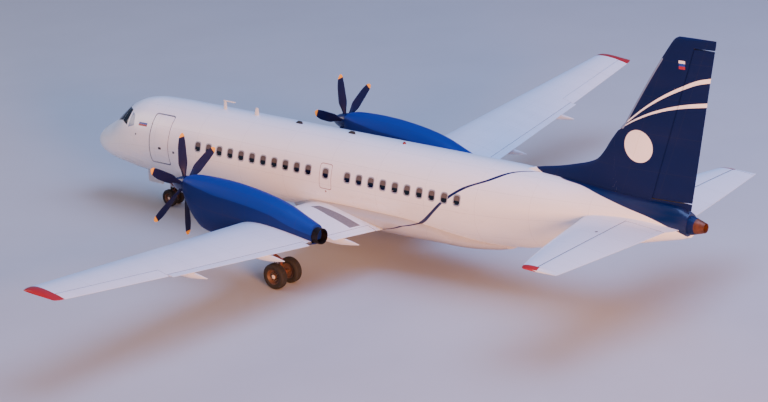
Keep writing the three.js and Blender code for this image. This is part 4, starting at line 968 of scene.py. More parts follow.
def flap_section(x):
    """A flap's section: a blunt nose in the cove, a top that drops behind the shroud's edge and then
    carries the wing's upper face on, and a flat underside."""
    chord, end = wing_chord(x), wing_line("shroud_end", x)
    behind = end + FLAP_GAP / chord
    tail = (wing_line("flap_trailing", x) - wing_line("leading", x)) / chord
    corners = [
        (FLAP_NOSE + 0.045, wing_face(x, FLAP_NOSE + 0.045, 1) - SHROUD_SKIN - FLAP_GAP - 0.006),
        (behind, wing_face(x, behind, 1) - SHROUD_SKIN - FLAP_GAP),
        (behind, wing_face(x, behind, 1)),
        (tail, EDGE_HALF),
        (tail, -EDGE_HALF),
        (end, wing_face(x, end, -1)),
        (FLAP_NOSE + 0.03, wing_face(x, FLAP_NOSE + 0.03, -1)),
        (FLAP_NOSE + 0.006, wing_face(x, FLAP_NOSE, -1) * 0.45),
        (FLAP_NOSE + 0.012, (wing_face(x, FLAP_NOSE, 1) - SHROUD_SKIN) * 0.5),
    ]
    radii = [0.05, 0.006, 0.006, 0.001, 0.001, 0.1, 0.035, 0.03, 0.035]
    return rounded(np.array(corners) * (chord, 1), radii, between=7)


def fairing_part(x, start, end):
    """A length of a track fairing: a row of ellipses about a level line over the hinge."""
    share = np.linspace(start, end, 22)
    half_width, half_height = smooth_rows(FAIRING, share).T[..., None]
    size = wing_line("flap_drop", x)
    middle = flap_hinge(x)
    turn = np.linspace(0, 2 * np.pi, 29)[:-1]
    y = middle[1] + (share[:, None] * FAIRING_LENGTH - FAIRING_REACH["forward"]) * size
    z = middle[2] + (FAIRING_REACH["lift"] + half_height * np.sin(turn)) * size
    return loft(np.stack(np.broadcast_arrays(x + half_width * np.cos(turn), y, z), -1))


fixed_fairings = []
for flap, span in FLAP_SPANS.items():
    flap_parts = [marked_wing(loft(square_rings(np.linspace(*span, 24), flap_section)))]
    for x in FAIRING_PLACES[flap]:
        flap_parts.append(fairing_part(x, FAIRING_HINGE, 1))
        fixed_fairings.append(fairing_part(x, 0, FAIRING_HINGE - FAIRING_REACH["split"]))
    piece_pair(f"flap_{flap}_skin_", flap_parts, [wing_paint],
               f"flap_{flap}_", "grey_paint", f"flap_{flap}_", crease=40)
piece_pair("flap_track_fairings_", fixed_fairings, [wing_paint], "airframe", "grey_paint")
aileron = marked_wing(loft(plain_rings(np.linspace(*AILERON_SPAN, 20), aileron_section)))
piece_pair("aileron_skin_", [aileron], [wing_paint], "aileron_", "grey_paint", "aileron_")


# Nacelles
# Aluminium and carbon panels round the engine and over the wing, painted royal blue. The chin takes
# in air through a duct, the pipe at the rear is heat-resistant steel, and the main wheels' bay is
# open below. An edge runs along each side where the top panels meet the side ones.

NACELLE_X = 4.2
# Columns: station, half width, top, height of the widest point, bottom
NACELLE = np.array([
    (8.52, 0.330, 3.140, 2.820, 2.450),
    (8.72, 0.430, 3.200, 2.700, 2.080),
    (9.00, 0.510, 3.235, 2.560, 1.700),
    (9.35, 0.560, 3.255, 2.420, 1.420),
    (9.90, 0.595, 3.262, 2.340, 1.330),
    (10.60, 0.605, 3.240, 2.300, 1.300),
    (11.50, 0.600, 3.150, 2.260, 1.310),
    (12.30, 0.570, 3.020, 2.230, 1.360),
    (13.00, 0.510, 2.840, 2.190, 1.470),
    (13.60, 0.420, 2.620, 2.130, 1.620),
    (14.20, 0.305, 2.410, 2.080, 1.765),
])
NACELLE_SQUARENESS = 0.82
NACELLE_STEP = 0.06
# The edge along each flank: station, angle up round the section from its widest height
NACELLE_EDGE = np.array([
    (8.50, 0.720), (8.75, 0.706), (9.50, 0.666), (10.30, 0.585),
    (11.56, 0.578), (12.54, 0.545), (13.25, 0.400), (14.20, 0.200)])
# The share by which the skin swells along the edge, over which angle, and how much of that there is
# at these stations
RIDGE = {"swell": 0.022, "angle": 0.13, "stations": (8.5, 9.2, 13.2, 14.0), "shares": (0, 1, 1, 0)}
COWL_END = 10.6
# The first seam's station, and the radius that makes an angle round the flank a distance
SEAMS_FROM = 8.6
FLANK_RADIUS = 0.6
INTAKE = {"half": 0.265, "low": 1.705, "high": 2.105, "from": 8.3, "to": 9.3, "corner": 0.16}
MAIN_BAY = {"half": 0.33, "from": 11.4, "to": 12.8, "floor": 1.0, "roof": 1.7}
EXHAUST_HEIGHT = 2.06
# Columns: station, radius
EXHAUST_PIPE = [
    (14.08, 0.0), (14.08, 0.262), (14.20, 0.267), (14.44, 0.264),
    (14.46, 0.260), (14.46, 0.250), (14.16, 0.246), (14.10, 0.0)]


def turned(profile, centre, axis, count=96, finish=0):
    """A body of revolution about an axis along X or Y: each pair of the profile is a place along the
    axis and a radius, and the rings start at the bottom so that a tyre's tread reaches the floor."""
    along, radius = np.array(profile, float).T[..., None]
    angle = np.arange(count) * 2 * np.pi / count - np.pi / 2
    across, up = radius * np.cos(angle), radius * np.sin(angle)
    x, y, z = (along, across, up) if axis == "x" else (across, along, up)
    places = np.broadcast_arrays(centre[0] + x, centre[1] + y, centre[2] + z)
    return loft(np.stack(places, -1), "open", finish)


def flank_place(part):
    """For each point of the nacelle: its station, its angle up round the section from either side,
    and how far it is under the edge."""
    x, y, z = part["points"].T
    station = y - cad_low.y
    half, top, widest, _ = smooth_rows(NACELLE, station).T
    angle = np.arctan2((z - widest) / (top - widest), np.abs(np.abs(x) - NACELLE_X) / half)
    return station, angle, smooth_rows(NACELLE_EDGE, station)[:, 0] - angle


def ridged(part):
    """Pushes the skin out along the edge, most on the edge itself and less on both sides."""
    station, _, under = flank_place(part)
    widest = smooth_rows(NACELLE, station)[:, 2]
    middle = np.column_stack([np.full(len(station), NACELLE_X), part["points"][:, 1], widest])
    fade = np.interp(station, RIDGE["stations"], RIDGE["shares"])
    swell = RIDGE["swell"] * np.exp(-(under / RIDGE["angle"]) ** 2) * fade
    part["points"] = middle + (part["points"] - middle) * (1 + swell[:, None])
    return part


def marked_nacelle(part):
    """Marks for the seams and for the top panels over the edge, which are painted a lighter blue as painted
    light from above.
    """
    station, angle, under = flank_place(part)
    part["marks"] = {
        "station": station - SEAMS_FROM,
        "girth": angle * FLANK_RADIUS,
        "top": under * FLANK_RADIUS,
    }
    return part


# The nacelle's blue is deep and shines softly. The duct is black with soot, the pipe's steel is
# scorched brown-black, and the engine's cast case is a dull grey metal.
# The lighter blue on the top panels over the edge is painted light, where the upper flanks face the sky and
# the lamps
nacelle_blue = gloss_paint(
    "royal_blue_polyurethane_gloss", "021C62", layers=(("032B80", "top"),),
    seams=("station", 1.0, "girth", 0.62), roughness=0.55, coat=0.04, dirt=0.02, specular=0.25)
duct_black = plain_finish("sooty_duct_interior", "0E0E10", "18181A", 0.05, 0.7)
pipe_steel = plain_finish("sooted_heat_resistant_steel", "161314", "2A2220", 0.12, 0.5, 0.6)
casing = plain_finish("cast_magnesium_engine_casing", "6C6E6A", "585A56", 0.1, 0.5, 0.5)
around = np.linspace(0, 2 * np.pi, 73)[:-1]
intake_x, intake_z = rectangle(NACELLE_X - INTAKE["half"], NACELLE_X + INTAKE["half"],
                               INTAKE["low"], INTAKE["high"], INTAKE["corner"]).T
intake_tool = loft(np.stack([
    np.column_stack([intake_x, np.full(len(intake_x), aft(station)), intake_z])
    for station in (INTAKE["from"], INTAKE["to"])]), finish=1)
bay_tool = box_part((NACELLE_X - MAIN_BAY["half"], aft(MAIN_BAY["from"]), MAIN_BAY["floor"]),
                    (NACELLE_X + MAIN_BAY["half"], aft(MAIN_BAY["to"]), MAIN_BAY["roof"]), 1)
# Columns: name, start, end, what is cut out of it, the finish inside
NACELLE_LENGTHS = (
    ("cowl", NACELLE[0, 0], COWL_END, intake_tool, duct_black),
    ("nacelle", COWL_END, NACELLE[-1, 0], bay_tool, bay_primer),
)
for nacelle_name, start, end, tool, inside in NACELLE_LENGTHS:
    stations = np.linspace(start, end, int((end - start) / NACELLE_STEP))[:, None]
    body = loft(oval(NACELLE, stations, around[None], middle=NACELLE_X, squareness=NACELLE_SQUARENESS))
    panels = marked_nacelle(carve(ridged(body), tool))
    piece_pair(f"{nacelle_name}_panels_", [panels], [nacelle_blue, inside],
               "airframe", "blue_paint", f"{nacelle_name}_")
pipe_profile = [(aft(station), radius) for station, radius in EXHAUST_PIPE]
pipe = turned(pipe_profile, (NACELLE_X, 0, EXHAUST_HEIGHT), "y")
piece_pair("exhaust_pipe_", [pipe], [pipe_steel], "airframe", "heat_tinted_steel", "exhaust_")
for side, _ in SIDES:
    refinish(f"engine_{side}", casing)


# Propellers
# Six composite blades with a foam core under navy polyurethane and yellow-orange tips, their roots
# clamped in a steel barrel under a spun aluminium spinner.

HUB = {"station": 8.34, "z": 2.82}
BLADE_COUNT = 6
# How far each propeller stands turned, in degrees
PARKED = {"left": 0.0, "right": 6.0}
# Columns: radius, chord, thickness, pitch in degrees, sweep
BLADE = np.array([
    (0.10, 0.130, 0.130, 40, 0.0),
    (0.30, 0.130, 0.125, 40, 0.0),
    (0.45, 0.180, 0.080, 32, 0.0),
    (0.80, 0.340, 0.038, 20, 0.008),
    (1.30, 0.335, 0.022, 9, 0.0),
    (1.65, 0.255, 0.013, 4, -0.026),
    (1.80, 0.160, 0.007, 2, -0.052),
])
TIP_PAINT_FROM = 1.66
# The end rounds off from a radius over a length, as part of a slightly longer quarter ellipse
BLADE_END = {"from": 1.68, "length": 0.1199, "ellipse": 0.1205}
# Outside this radius the sections are arched by a share of the chord
ARCH_FROM = 0.5
ARCH = 0.03
# Columns: distance behind the tip, radius. The distances are shortened by a factor and counted from
# a place ahead of the hub.
SPINNER = np.array([
    (0.00, 0.000), (0.10, 0.115), (0.20, 0.168), (0.36, 0.226),
    (0.56, 0.277), (0.80, 0.311), (0.90, 0.317)])
SPINNER_NOSE = -0.56
SPINNER_SHORTENED = 0.789
SPINNER_BACK = [(0.15, 0.319), (0.15, 0.30), (0.12, 0.0)]
BARREL = [(-0.11, 0.0), (-0.11, 0.165), (0.10, 0.165), (0.10, 0.07), (0.28, 0.07), (0.28, 0.0)]


def blade_part(turn, hub):
    """A blade pointing up from the hub, then turned about the shaft. Its sections are ellipses at the
    root and arched lens shapes further out, set at the pitch, and near the end the chord shrinks as a
    quarter of an ellipse."""
    end = BLADE_END["from"] + BLADE_END["length"] * np.sin(np.linspace(0.1, np.pi / 2, 12))
    radius = np.concatenate([np.linspace(BLADE[0, 0], BLADE_END["from"], 34), end])
    chord, thickness, pitch, sweep = smooth_rows(BLADE, radius).T[..., None]
    past = ((radius - BLADE_END["from"]) / BLADE_END["ellipse"]).clip(0)
    taper = np.sqrt(np.clip(1 - past ** 2, 0.004, 1))[:, None]
    angle = np.linspace(0, 2 * np.pi, 33)[:-1]
    arch = ARCH * chord * (radius[:, None] > ARCH_FROM) * np.sin(angle) ** 2
    along = chord / 2 * taper * np.cos(angle) + sweep
    through = thickness / 2 * taper * np.sin(angle) - arch
    pitch = -np.radians(pitch)
    x = along * np.cos(pitch) - through * np.sin(pitch)
    y = along * np.sin(pitch) + through * np.cos(pitch)
    z = np.broadcast_to(radius[:, None], x.shape)
    across = x * math.cos(turn) + z * math.sin(turn)
    up = z * math.cos(turn) - x * math.sin(turn)
    part = loft(np.stack([across, y, up], -1) + hub)
    part["marks"] = {"tip": TIP_PAINT_FROM - z.ravel()}
    return part


# The blades' rubbery coating is a navy that barely shines, the barrel's steel a dark satin grey,
# and the spinner's enamel the glossiest of the blues
blade_paint = gloss_paint("navy_erosion_coating", "060C38", layers=(("E2A02C", "tip"),),
                          roughness=0.5, coat=0.0, dirt=0.02, specular=0.25)
hub_steel = plain_finish("phosphated_hub_steel", "4A4C50", "3C3E42", 0.05, 0.4, 0.8)
spinner_blue = gloss_paint("blue_spinner_enamel", "081850", roughness=0.25, dirt=0.02)
nose_along = np.linspace(0, math.sqrt(SPINNER[-1, 0]), 30) ** 2
nose_radius = np.interp(np.sqrt(nose_along), np.sqrt(SPINNER[:, 0]), SPINNER[:, 1])
nose = np.column_stack([SPINNER_NOSE + nose_along * SPINNER_SHORTENED, nose_radius])
for side, sign in SIDES:
    hub = np.array([sign * NACELLE_X, aft(HUB["station"]), HUB["z"]])
    turns = np.radians(360 / BLADE_COUNT * np.arange(BLADE_COUNT) + PARKED[side])
    blades = [blade_part(turn, hub) for turn in turns]
    barrel = turned(BARREL, hub, "y", 48, 1)
    cone = turned([*nose, *SPINNER_BACK], hub, "y")
    piece(f"propeller_blades_{side}", [*blades, barrel], [blade_paint, hub_steel],
          f"propeller_{side}", [f"propeller_{side}"])
    piece(f"spinner_cone_{side}", [cone], [spinner_blue],
          f"propeller_{side}", [f"spinner_{side}"])


# Undercarriage legs and doors
# Oil and gas struts of enamelled steel: a forward-raked cylinder with a chromed piston under it on
# each main leg, torque links behind, a brace up to the bay's roof, and a steerable nose strut. The
# doors hang open beside the bays.

# How near a leg's top comes to the bay's roof, and a door's face to the bay's wall
SEAT_GAP = 0.0003
MAIN_WHEEL = {"station": 12.58, "z": 0.44}
# Stations of the leg's and the brace's top, places up the leg as shares of it, radii, and half the
# barrel's width
MAIN_LEG = {"top": 11.76, "brace": 12.70, "knee": 0.55, "shoulder": 0.50, "radius": 0.075, "piston": 0.052,
            "barrel": 0.095, "barrel_half": 0.13}
NOSE_WHEEL = {"station": 3.45, "z": 0.32}
# Station of the strut, heights of its foot and of the drag brace's, the brace's top, and radii
NOSE_STRUT = {"station": 3.37, "radius": 0.072, "foot": 0.82, "stem": 0.046, "drag_foot": 1.15,
              "drag_top": 2.60, "drag": 0.035}
MAIN_DOOR = {"from": 11.44, "to": 12.10, "low": 1.01, "high": 1.68, "thick": 0.0257}
NOSE_DOOR = {"from": 2.52, "to": 3.30, "low": 0.84, "high": 1.60, "thick": 0.0237}
DOOR_CORNER = 0.09


def bar_part(start, end, radius, end_radius=None, finish=0, count=32):
    """A round bar between two points, its ends flat: circles across the line that joins them."""
    start, end = np.array(start, float), np.array(end, float)
    way = (end - start) / np.linalg.norm(end - start)
    aside = np.cross(way, (1.0, 0.0, 0.0) if abs(way[0]) < 0.9 else (0.0, 1.0, 0.0))
    aside /= np.linalg.norm(aside)
    angle = np.linspace(0, 2 * np.pi, count + 1)[:-1, None]
    circle = np.cos(angle) * aside + np.sin(angle) * np.cross(way, aside)
    return loft(np.stack([start + radius * circle, end + (end_radius or radius) * circle]), finish=finish)


def link_part(start, end, half_start, half_end, thickness):
    """A flat tapering link across X, from one point to another."""
    start, end = np.array(start, float), np.array(end, float)
    across = np.array([1.0, 0.0, 0.0])
    out = np.cross(end - start, across)
    out *= thickness / 2 / np.linalg.norm(out)
    corners = ((-1, -1), (1, -1), (1, 1), (-1, 1))
    rings = [
        [place + side * half * across + face * out for side, face in corners]
        for place, half in ((start, half_start), (end, half_end))]
    return loft(np.array(rings))


def station_point(x, station, z):
    """A point at a station."""
    return np.array([x, aft(station), z])


def beside_strut(z, back=0.0, x=0.0):
    """A point at a height, beside or behind the nose strut's line."""
    return station_point(x, NOSE_STRUT["station"] + back, z)


def hanging_door(door, out, middle, half):
    """A gear door's panel in an upright plane along the flight path, its outer face on the wall of a
    bay, to the left of the bay's middle where out is 1 and to the right where it is -1."""
    wall = middle + out * (half - SEAT_GAP)
    outline = rectangle(door["from"], door["to"], door["low"], door["high"], DOOR_CORNER)

    def on_wall(station, z, lift):
        """A point on the wall, or off it by a lift."""
        return np.stack(np.broadcast_arrays(wall + out * lift, aft(station), z), -1)

    return patch(on_wall, outline, panel_profile(door["thick"], 5))


# The legs' enamel is a red-brown that dust has dulled, hard chrome a bright mirror, and the hoses'
# woven cover black and matt
leg_enamel = plain_finish("red_brown_leg_enamel", "7A4A3C", "6A3E32", 0.1, 0.4, 0.2)
chrome = plain_finish("hard_chromed_piston", "C9CBCE", "BFC1C4", 0.05, 0.14, 1.0)
hose_rubber = plain_finish("hydraulic_hose_cover", "161617", "202021", 0.02, 0.6)

axle = station_point(NACELLE_X, MAIN_WHEEL["station"], MAIN_WHEEL["z"])
leg = station_point(NACELLE_X, MAIN_LEG["top"], MAIN_BAY["roof"] - SEAT_GAP) - axle
brace_top = station_point(NACELLE_X, MAIN_LEG["brace"], MAIN_BAY["roof"] - SEAT_GAP)
top = axle + leg
knee = axle + leg * MAIN_LEG["knee"]
shoulder = axle + leg * MAIN_LEG["shoulder"]
barrel_half = np.array([MAIN_LEG["barrel_half"], 0, 0])
# The cylinder with its gland, the piston and its socket, the axle's barrel, the brace and its
# sleeve, and the trunnion
main_parts = [
    bar_part(shoulder, top, MAIN_LEG["radius"]),
    bar_part(shoulder - leg * 0.02, shoulder + leg * 0.03, MAIN_LEG["radius"] + 0.012),
    bar_part(axle, shoulder, MAIN_LEG["piston"], finish=1),
    bar_part(axle, axle + leg * 0.12, 0.085, 0.066),
    bar_part(axle - barrel_half, axle + barrel_half, MAIN_LEG["barrel"]),
    bar_part(knee, brace_top, 0.038),
    bar_part(knee, (knee + brace_top) / 2, 0.046),
    bar_part(top + (-0.16, 0, -0.09), top + (0.16, 0, -0.09), 0.06),
]
# The torque links with their pin, and two hoses
link_low = axle + leg * 0.10
link_knee = (link_low + shoulder) / 2 + (0, 0.24, 0.10)
main_parts += [
    link_part(link_low, link_knee, 0.075, 0.035, 0.022),
    link_part(shoulder, link_knee, 0.075, 0.035, 0.022),
    bar_part(link_knee + (-0.05, 0, 0), link_knee + (0.05, 0, 0), 0.022),
]
for x in (0.05, -0.05):
    hose = bar_part(axle + (x, -0.085, 0.05), knee + (x, -0.085, 0), 0.011, finish=2, count=12)
    main_parts.append(hose)
piece_pair("main_leg_strut_", main_parts, [leg_enamel, chrome, hose_rubber],
           "airframe", "gear_steel", "main_leg_")
for place, out in (("inner", -1), ("outer", 1)):
    door = hanging_door(MAIN_DOOR, out, NACELLE_X, MAIN_BAY["half"])
    piece_pair(f"main_gear_door_panel_{place}_", [door], [nacelle_blue],
               "airframe", "blue_paint", f"main_gear_door_{place}_")

nose_axle = station_point(0, NOSE_WHEEL["station"], NOSE_WHEEL["z"])
strut_foot = beside_strut(NOSE_STRUT["foot"])
nose_roof = NOSE_BAY["roof"] - SEAT_GAP
drag_top = station_point(0, NOSE_STRUT["drag_top"], nose_roof - 0.03)
# The cylinder, its gland and collar, the drag brace, and a cross bar
nose_leg_parts = [
    bar_part(strut_foot, beside_strut(nose_roof), NOSE_STRUT["radius"]),
    bar_part(strut_foot, beside_strut(0.90), NOSE_STRUT["radius"] + 0.014),
    bar_part(beside_strut(1.12), beside_strut(1.20), NOSE_STRUT["radius"] + 0.010),
    bar_part(beside_strut(NOSE_STRUT["drag_foot"]), drag_top, NOSE_STRUT["drag"]),
    bar_part(beside_strut(1.0, 0.02, -0.11), beside_strut(1.0, 0.02, 0.11), 0.045),
]
piece("nose_leg_strut", nose_leg_parts, [leg_enamel], "airframe", ["nose_leg"])
# The piston, the arm down to the axle with its collar, the axle's barrel, the tow fitting ahead of
# it, and the torque links
link_pin = beside_strut(0.66, 0.20)
nose_fork_parts = [
    bar_part(beside_strut(0.40), beside_strut(1.05), NOSE_STRUT["stem"], finish=1),
    bar_part(beside_strut(0.46), nose_axle, 0.05),
    bar_part(beside_strut(0.42), beside_strut(0.52), 0.058),
    bar_part(nose_axle - (0.06, 0, 0), nose_axle + (0.06, 0, 0), 0.062),
    box_part(nose_axle + (-0.045, -0.11, -0.028), nose_axle + (0.045, -0.02, 0.028)),
    link_part(beside_strut(0.50, 0.03), link_pin, 0.05, 0.025, 0.018),
    link_part(beside_strut(0.80, 0.05), link_pin, 0.04, 0.025, 0.018),
]
piece("nose_fork_strut", nose_fork_parts, [leg_enamel, chrome],
      "nose_steering", ["nose_fork"])
door = hanging_door(NOSE_DOOR, 1, 0.0, NOSE_BAY["half"])
door["marks"] = {mark: np.full(len(door["points"]), UNMARKED) for mark in ("stripe", "navy")}
piece_pair("nose_gear_door_panel_", [door], [white_topcoat], "airframe", "white_paint", "nose_gear_door_")


# Wheels
# Forged aluminium rims with brake packs inboard, and tubeless tyres with a ribbed tread.

def sized(profile, radius, width, out):
    """A profile given as shares of the width and the radius, in metres, or its mirror image."""
    return [(out * across * width, share * radius) for across, share in profile]


# Shares of the tyre's width and radius. A tyre has a bead, a flank, a shoulder and half of the tread
# with its three grooves on each side.
TYRE_HALF = [
    (0.36, 0.575), (0.40, 0.60), (0.455, 0.65), (0.492, 0.72), (0.50, 0.78), (0.487, 0.85),
    (0.455, 0.91), (0.41, 0.952), (0.35, 0.976), (0.27, 0.99), (0.205, 0.9965),
    (0.200, 0.9965), (0.196, 0.975), (0.170, 0.975), (0.166, 0.998), (0.02, 1.0), (0.016, 0.978)]
TYRE_OUTSIDE = [(-across, share) for across, share in TYRE_HALF] + TYRE_HALF[::-1]
TYRE = TYRE_OUTSIDE + [(0.36, 0.56), (-0.36, 0.56)] + TYRE_OUTSIDE[:1]
# The rim, outboard to the right: hub, dish, flange, and the plain inboard side
RIM = [
    (0.36, 0.0), (0.355, 0.10), (0.33, 0.165), (0.30, 0.185), (0.06, 0.20), (0.02, 0.24), (0.02, 0.40),
    (0.08, 0.47), (0.30, 0.53), (0.40, 0.565), (0.415, 0.60), (0.39, 0.60), (0.36, 0.572),
    (-0.36, 0.572), (-0.39, 0.60), (-0.415, 0.60), (-0.40, 0.55), (-0.22, 0.50), (-0.20, 0.24),
    (-0.20, 0.0)]
HUB_CAP = [(0.372, 0.0), (0.371, 0.05), (0.36, 0.125), (0.34, 0.17), (0.334, 0.17), (0.336, 0.0)]
# Shares of the tyre's radius, and the bolts' number, length and foot, a share of the tyre's width
AXLE = 0.112
BOLT = {"circle": 0.31, "radius": 0.028, "number": 10, "length": 0.05, "foot": 0.05}

# Tyre rubber is matt and black-brown with dust, the rims' enamel a dull brown, the bolts' plating a
# pale gold metal, and the caps a clean cream
tyre_compound = plain_finish("carbon_black_tyre_rubber", "1D1C1C", "282625", 0.06, 0.85, bump_height=0.002)
rim_paint = plain_finish("brown_rim_enamel", "5E463A", "503A30", 0.05, 0.5, 0.1)
bolt_steel = plain_finish("cadmium_plated_bolts", "B0A890", "9A9280", 0.01, 0.35, 0.9)
cap_paint = plain_finish("pale_hub_cap_enamel", "DCCDBC", "CFC0B0", 0.04, 0.35)
# Columns: name, x, place, tyre's radius and width, half the way between its wheels, body, tyre's node
WHEEL_SETS = (
    ("main_left", NACELLE_X, MAIN_WHEEL, 0.44, 0.30, 0.36, "main_wheels_left", "main_tyre_left"),
    ("main_right", -NACELLE_X, MAIN_WHEEL, 0.44, 0.30, 0.36, "main_wheels_right", "main_tyre_right"),
    ("nose", 0.0, NOSE_WHEEL, 0.32, 0.18, 0.195, "nose_wheels", "nose_tyre"),
)
bolt_angle = np.arange(BOLT["number"]) * 2 * np.pi / BOLT["number"]
for set_name, x, place, radius, width, offset, body, tyre_node in WHEEL_SETS:
    middle = station_point(x, place["station"], place["z"])
    rims = [bar_part(middle - (offset, 0, 0), middle + (offset, 0, 0), radius * AXLE)]
    for end, out in (("a", 1), ("b", -1)):
        centre = middle + (out * offset, 0, 0)
        rims.append(turned(sized(RIM, radius, width, out), centre, "x", 72))
        rims.append(turned(sized(HUB_CAP, radius, width, out), centre, "x", 48, 2))
        for across, up in zip(np.cos(bolt_angle), np.sin(bolt_angle)):
            circle = radius * BOLT["circle"]
            foot = centre + (out * BOLT["foot"] * width, circle * across, circle * up)
            head = foot + (out * BOLT["length"], 0, 0)
            rims.append(bar_part(foot, head, radius * BOLT["radius"], finish=1, count=6))
        tyre = turned(sized(TYRE, radius, width, out), centre, "x", 120)
        piece(f"tyre_{set_name}_{end}", [tyre], [tyre_compound],
              body, [f"{tyre_node}_{end}"])
    piece(f"rims_{set_name}", rims, [rim_paint, bolt_steel, cap_paint], body, [body])


# Fin and rudder
# Two spars under thin aluminium skins, painted navy with two white swooshes and a plain white disc.
# The fin's leading edge is a pale de-icing strip, and its foot is drawn out along the crown.

# Columns: height, leading edge, trailing edge, thickness
FIN = np.array([
    (3.70, 22.000, 25.910, 0.400),
    (5.20, 22.940, 26.180, 0.330),
    (8.88, 25.240, 26.830, 0.170),
    (9.12, 25.440, 26.876, 0.120),
    (9.19, 25.580, 26.880, 0.040),
])
# Heights, the gaps below, above and ahead of the rudder, and how far aft its room is cut
RUDDER = {"low": 3.945, "high": 8.86, "below": 0.032, "above": 0.036, "gap": 0.012, "cut_to": 28.0}
# The hinge line's ends: height, station
RUDDER_HINGE = ((3.85, 24.58), (8.95, 26.19))
DISC = {"station": 24.11, "z": 5.54, "radius": 0.52}
# Each swoosh: station, height of its middle, half width
SWOOSHES = {
    "upper": np.array([
        (23.20, 5.86, 0.006), (23.69, 6.27, 0.024), (24.39, 6.82, 0.036), (24.99, 7.22, 0.046),
        (25.68, 7.59, 0.057), (26.34, 7.87, 0.068), (26.92, 7.99, 0.075)]),
    "lower": np.array([
        (23.20, 5.86, 0.006), (23.98, 6.36, 0.026), (24.66, 6.69, 0.037), (25.29, 6.91, 0.047),
        (25.91, 7.06, 0.058), (26.92, 7.22, 0.072)]),
}
SWOOSHES_FROM = 23.18
# The strip's width and the heights between which it runs
DEICER = {"width": 0.09, "low": 6.0, "high": 8.45}
# The spine is white like the crown ahead of a slanting line, which passes this height where the
# navy starts and leans forward by this much for each metre up
SPINE = {"height": 4.07, "slope": 2.5}
SEAM_LEAN = 0.35
# The leading edge with its fillet along the crown: height, station
CREST = np.array([
    (3.70, 19.60), (4.075, 19.72), (4.215, 20.20), (4.37, 20.98), (4.53, 21.60), (4.69, 22.13),
    (4.835, 22.44), (5.145, 22.73), (5.50, 22.97), (5.92, 23.29), (6.22, 23.578)])
TAILPLANE_Z = 3.15
THICKEST = 0.3


def rudder_hinge(z):
    """The rudder's hinge line: its station at a height."""
    (low_z, low), (high_z, high) = RUDDER_HINGE
    return low + (z - low_z) * (high - low) / (high_z - low_z)


def lens(rows, span, nose=None, count=36):
    """A symmetrical aerofoil between the rows: stations, and heights over its middle. Its part
    before the thickest place can be drawn out forward to a nose further ahead."""
    lead, trail, thick = smooth_rows(rows, span)
    u = chord_shares(count)
    half = half_thickness(u, thick) + EDGE_HALF * u
    stations = lead + u * (trail - lead)
    if nose is not None:
        stations = stations - (lead - nose) * (1 - u / THICKEST).clip(0) ** 1.5
    return np.column_stack([
        np.concatenate([stations[::-1], stations[1:]]), np.concatenate([half[::-1], -half[1:]])])


def lens_face(rows, span, station):
    """Half the thickness of that aerofoil at a station."""
    lead, trail, thick = np.moveaxis(smooth_rows(rows, span), -1, 0)
    u = np.clip((station - lead) / (trail - lead), 0, 1)
    return half_thickness(u, thick) + EDGE_HALF * u


def tail_part(spans, section, upright=False, finish=0):
    """A body of sections given as station and height, upright for the fin or flat for the tailplane."""
    rings = []
    for span in spans:
        station, v = section(span).T
        along = np.full(len(v), float(span))
        x, z = (v, along) if upright else (along, TAILPLANE_Z + v)
        rings.append(np.stack([x, aft(station), z], -1))
    return loft(np.array(rings), finish=finish)


def moving_lens(rows, span, hinge):
    """The section of the control surface behind a hinge."""
    trail = smooth_rows(rows, span)[1]
    faces = [
        lambda station, side=side: side * lens_face(rows, np.full(np.shape(station), span), station)
        for side in (1, -1)]
    return hinged_section(hinge, 0.0, float(lens_face(rows, span, hinge)), trail, *faces)


def lens_room(rows, span, hinge, surface):
    """The section of that surface's room: its nose and a gap round it, and everything behind."""
    return cove_for(hinge, 0.0, float(lens_face(rows, span, hinge)) + surface["gap"], surface["cut_to"])


def marked_fin(part):
    """Marks for the swooshes, the disc, the de-icing strip, the white front of the spine and the
    seams."""
    _, y, z = part["points"].T
    station = y - cad_low.y
    marks = {}
    for swoosh, table in SWOOSHES.items():
        middle, width = smooth_rows(table, station).T
        marks[swoosh] = np.where(station < SWOOSHES_FROM, UNMARKED, z - middle)
        marks[swoosh + "_half"] = width
    marks["disc"] = np.hypot(station - DISC["station"], z - DISC["z"]) - DISC["radius"]
    behind = station - smooth_rows(FIN, z)[:, 0] - DEICER["width"]
    marks["leading"] = np.maximum(behind, np.maximum(DEICER["low"] - z, z - DEICER["high"]))
    marks["spine"] = station - NAVY_FROM + SPINE["slope"] * (z - SPINE["height"])
    marks["fin_z"] = z
    marks["fin_station"] = station - SEAM_LEAN * z
    part["marks"] = marks
    return part


# The fin's navy shines softly, so that a low light doesn't wash it out
fin_navy = gloss_paint(
    "navy_polyurethane_gloss", "011448",
    layers=(("F4F4F6", "upper", "upper_half"), ("F4F4F6", "lower", "lower_half"), ("F6F4F2", "disc"),
            ("8E99AC", "leading"), ("F6F5F4", "spine")),
    seams=("fin_z", 1.2, "fin_station", 1.3), roughness=0.62, coat=0.02, dirt=0.02, specular=0.2,
)
fin_zs = np.concatenate([
    np.linspace(3.70, 5.20, 56), np.linspace(5.25, 8.88, 62), np.linspace(8.92, 9.12, 6),
    9.19 - 0.07 * np.cos(np.linspace(0.35, np.pi / 2, 7))])
room_zs = np.linspace(RUDDER["low"] - RUDDER["below"], RUDDER["high"] + RUDDER["above"], 24)


def fin_section(z):
    """The fin's section at a height, drawn out forward where the fillet is."""
    nose = smooth_rows(CREST, z)[0] if z < CREST[-1, 0] else smooth_rows(FIN, z)[0]
    return lens(FIN, z, nose, 64)


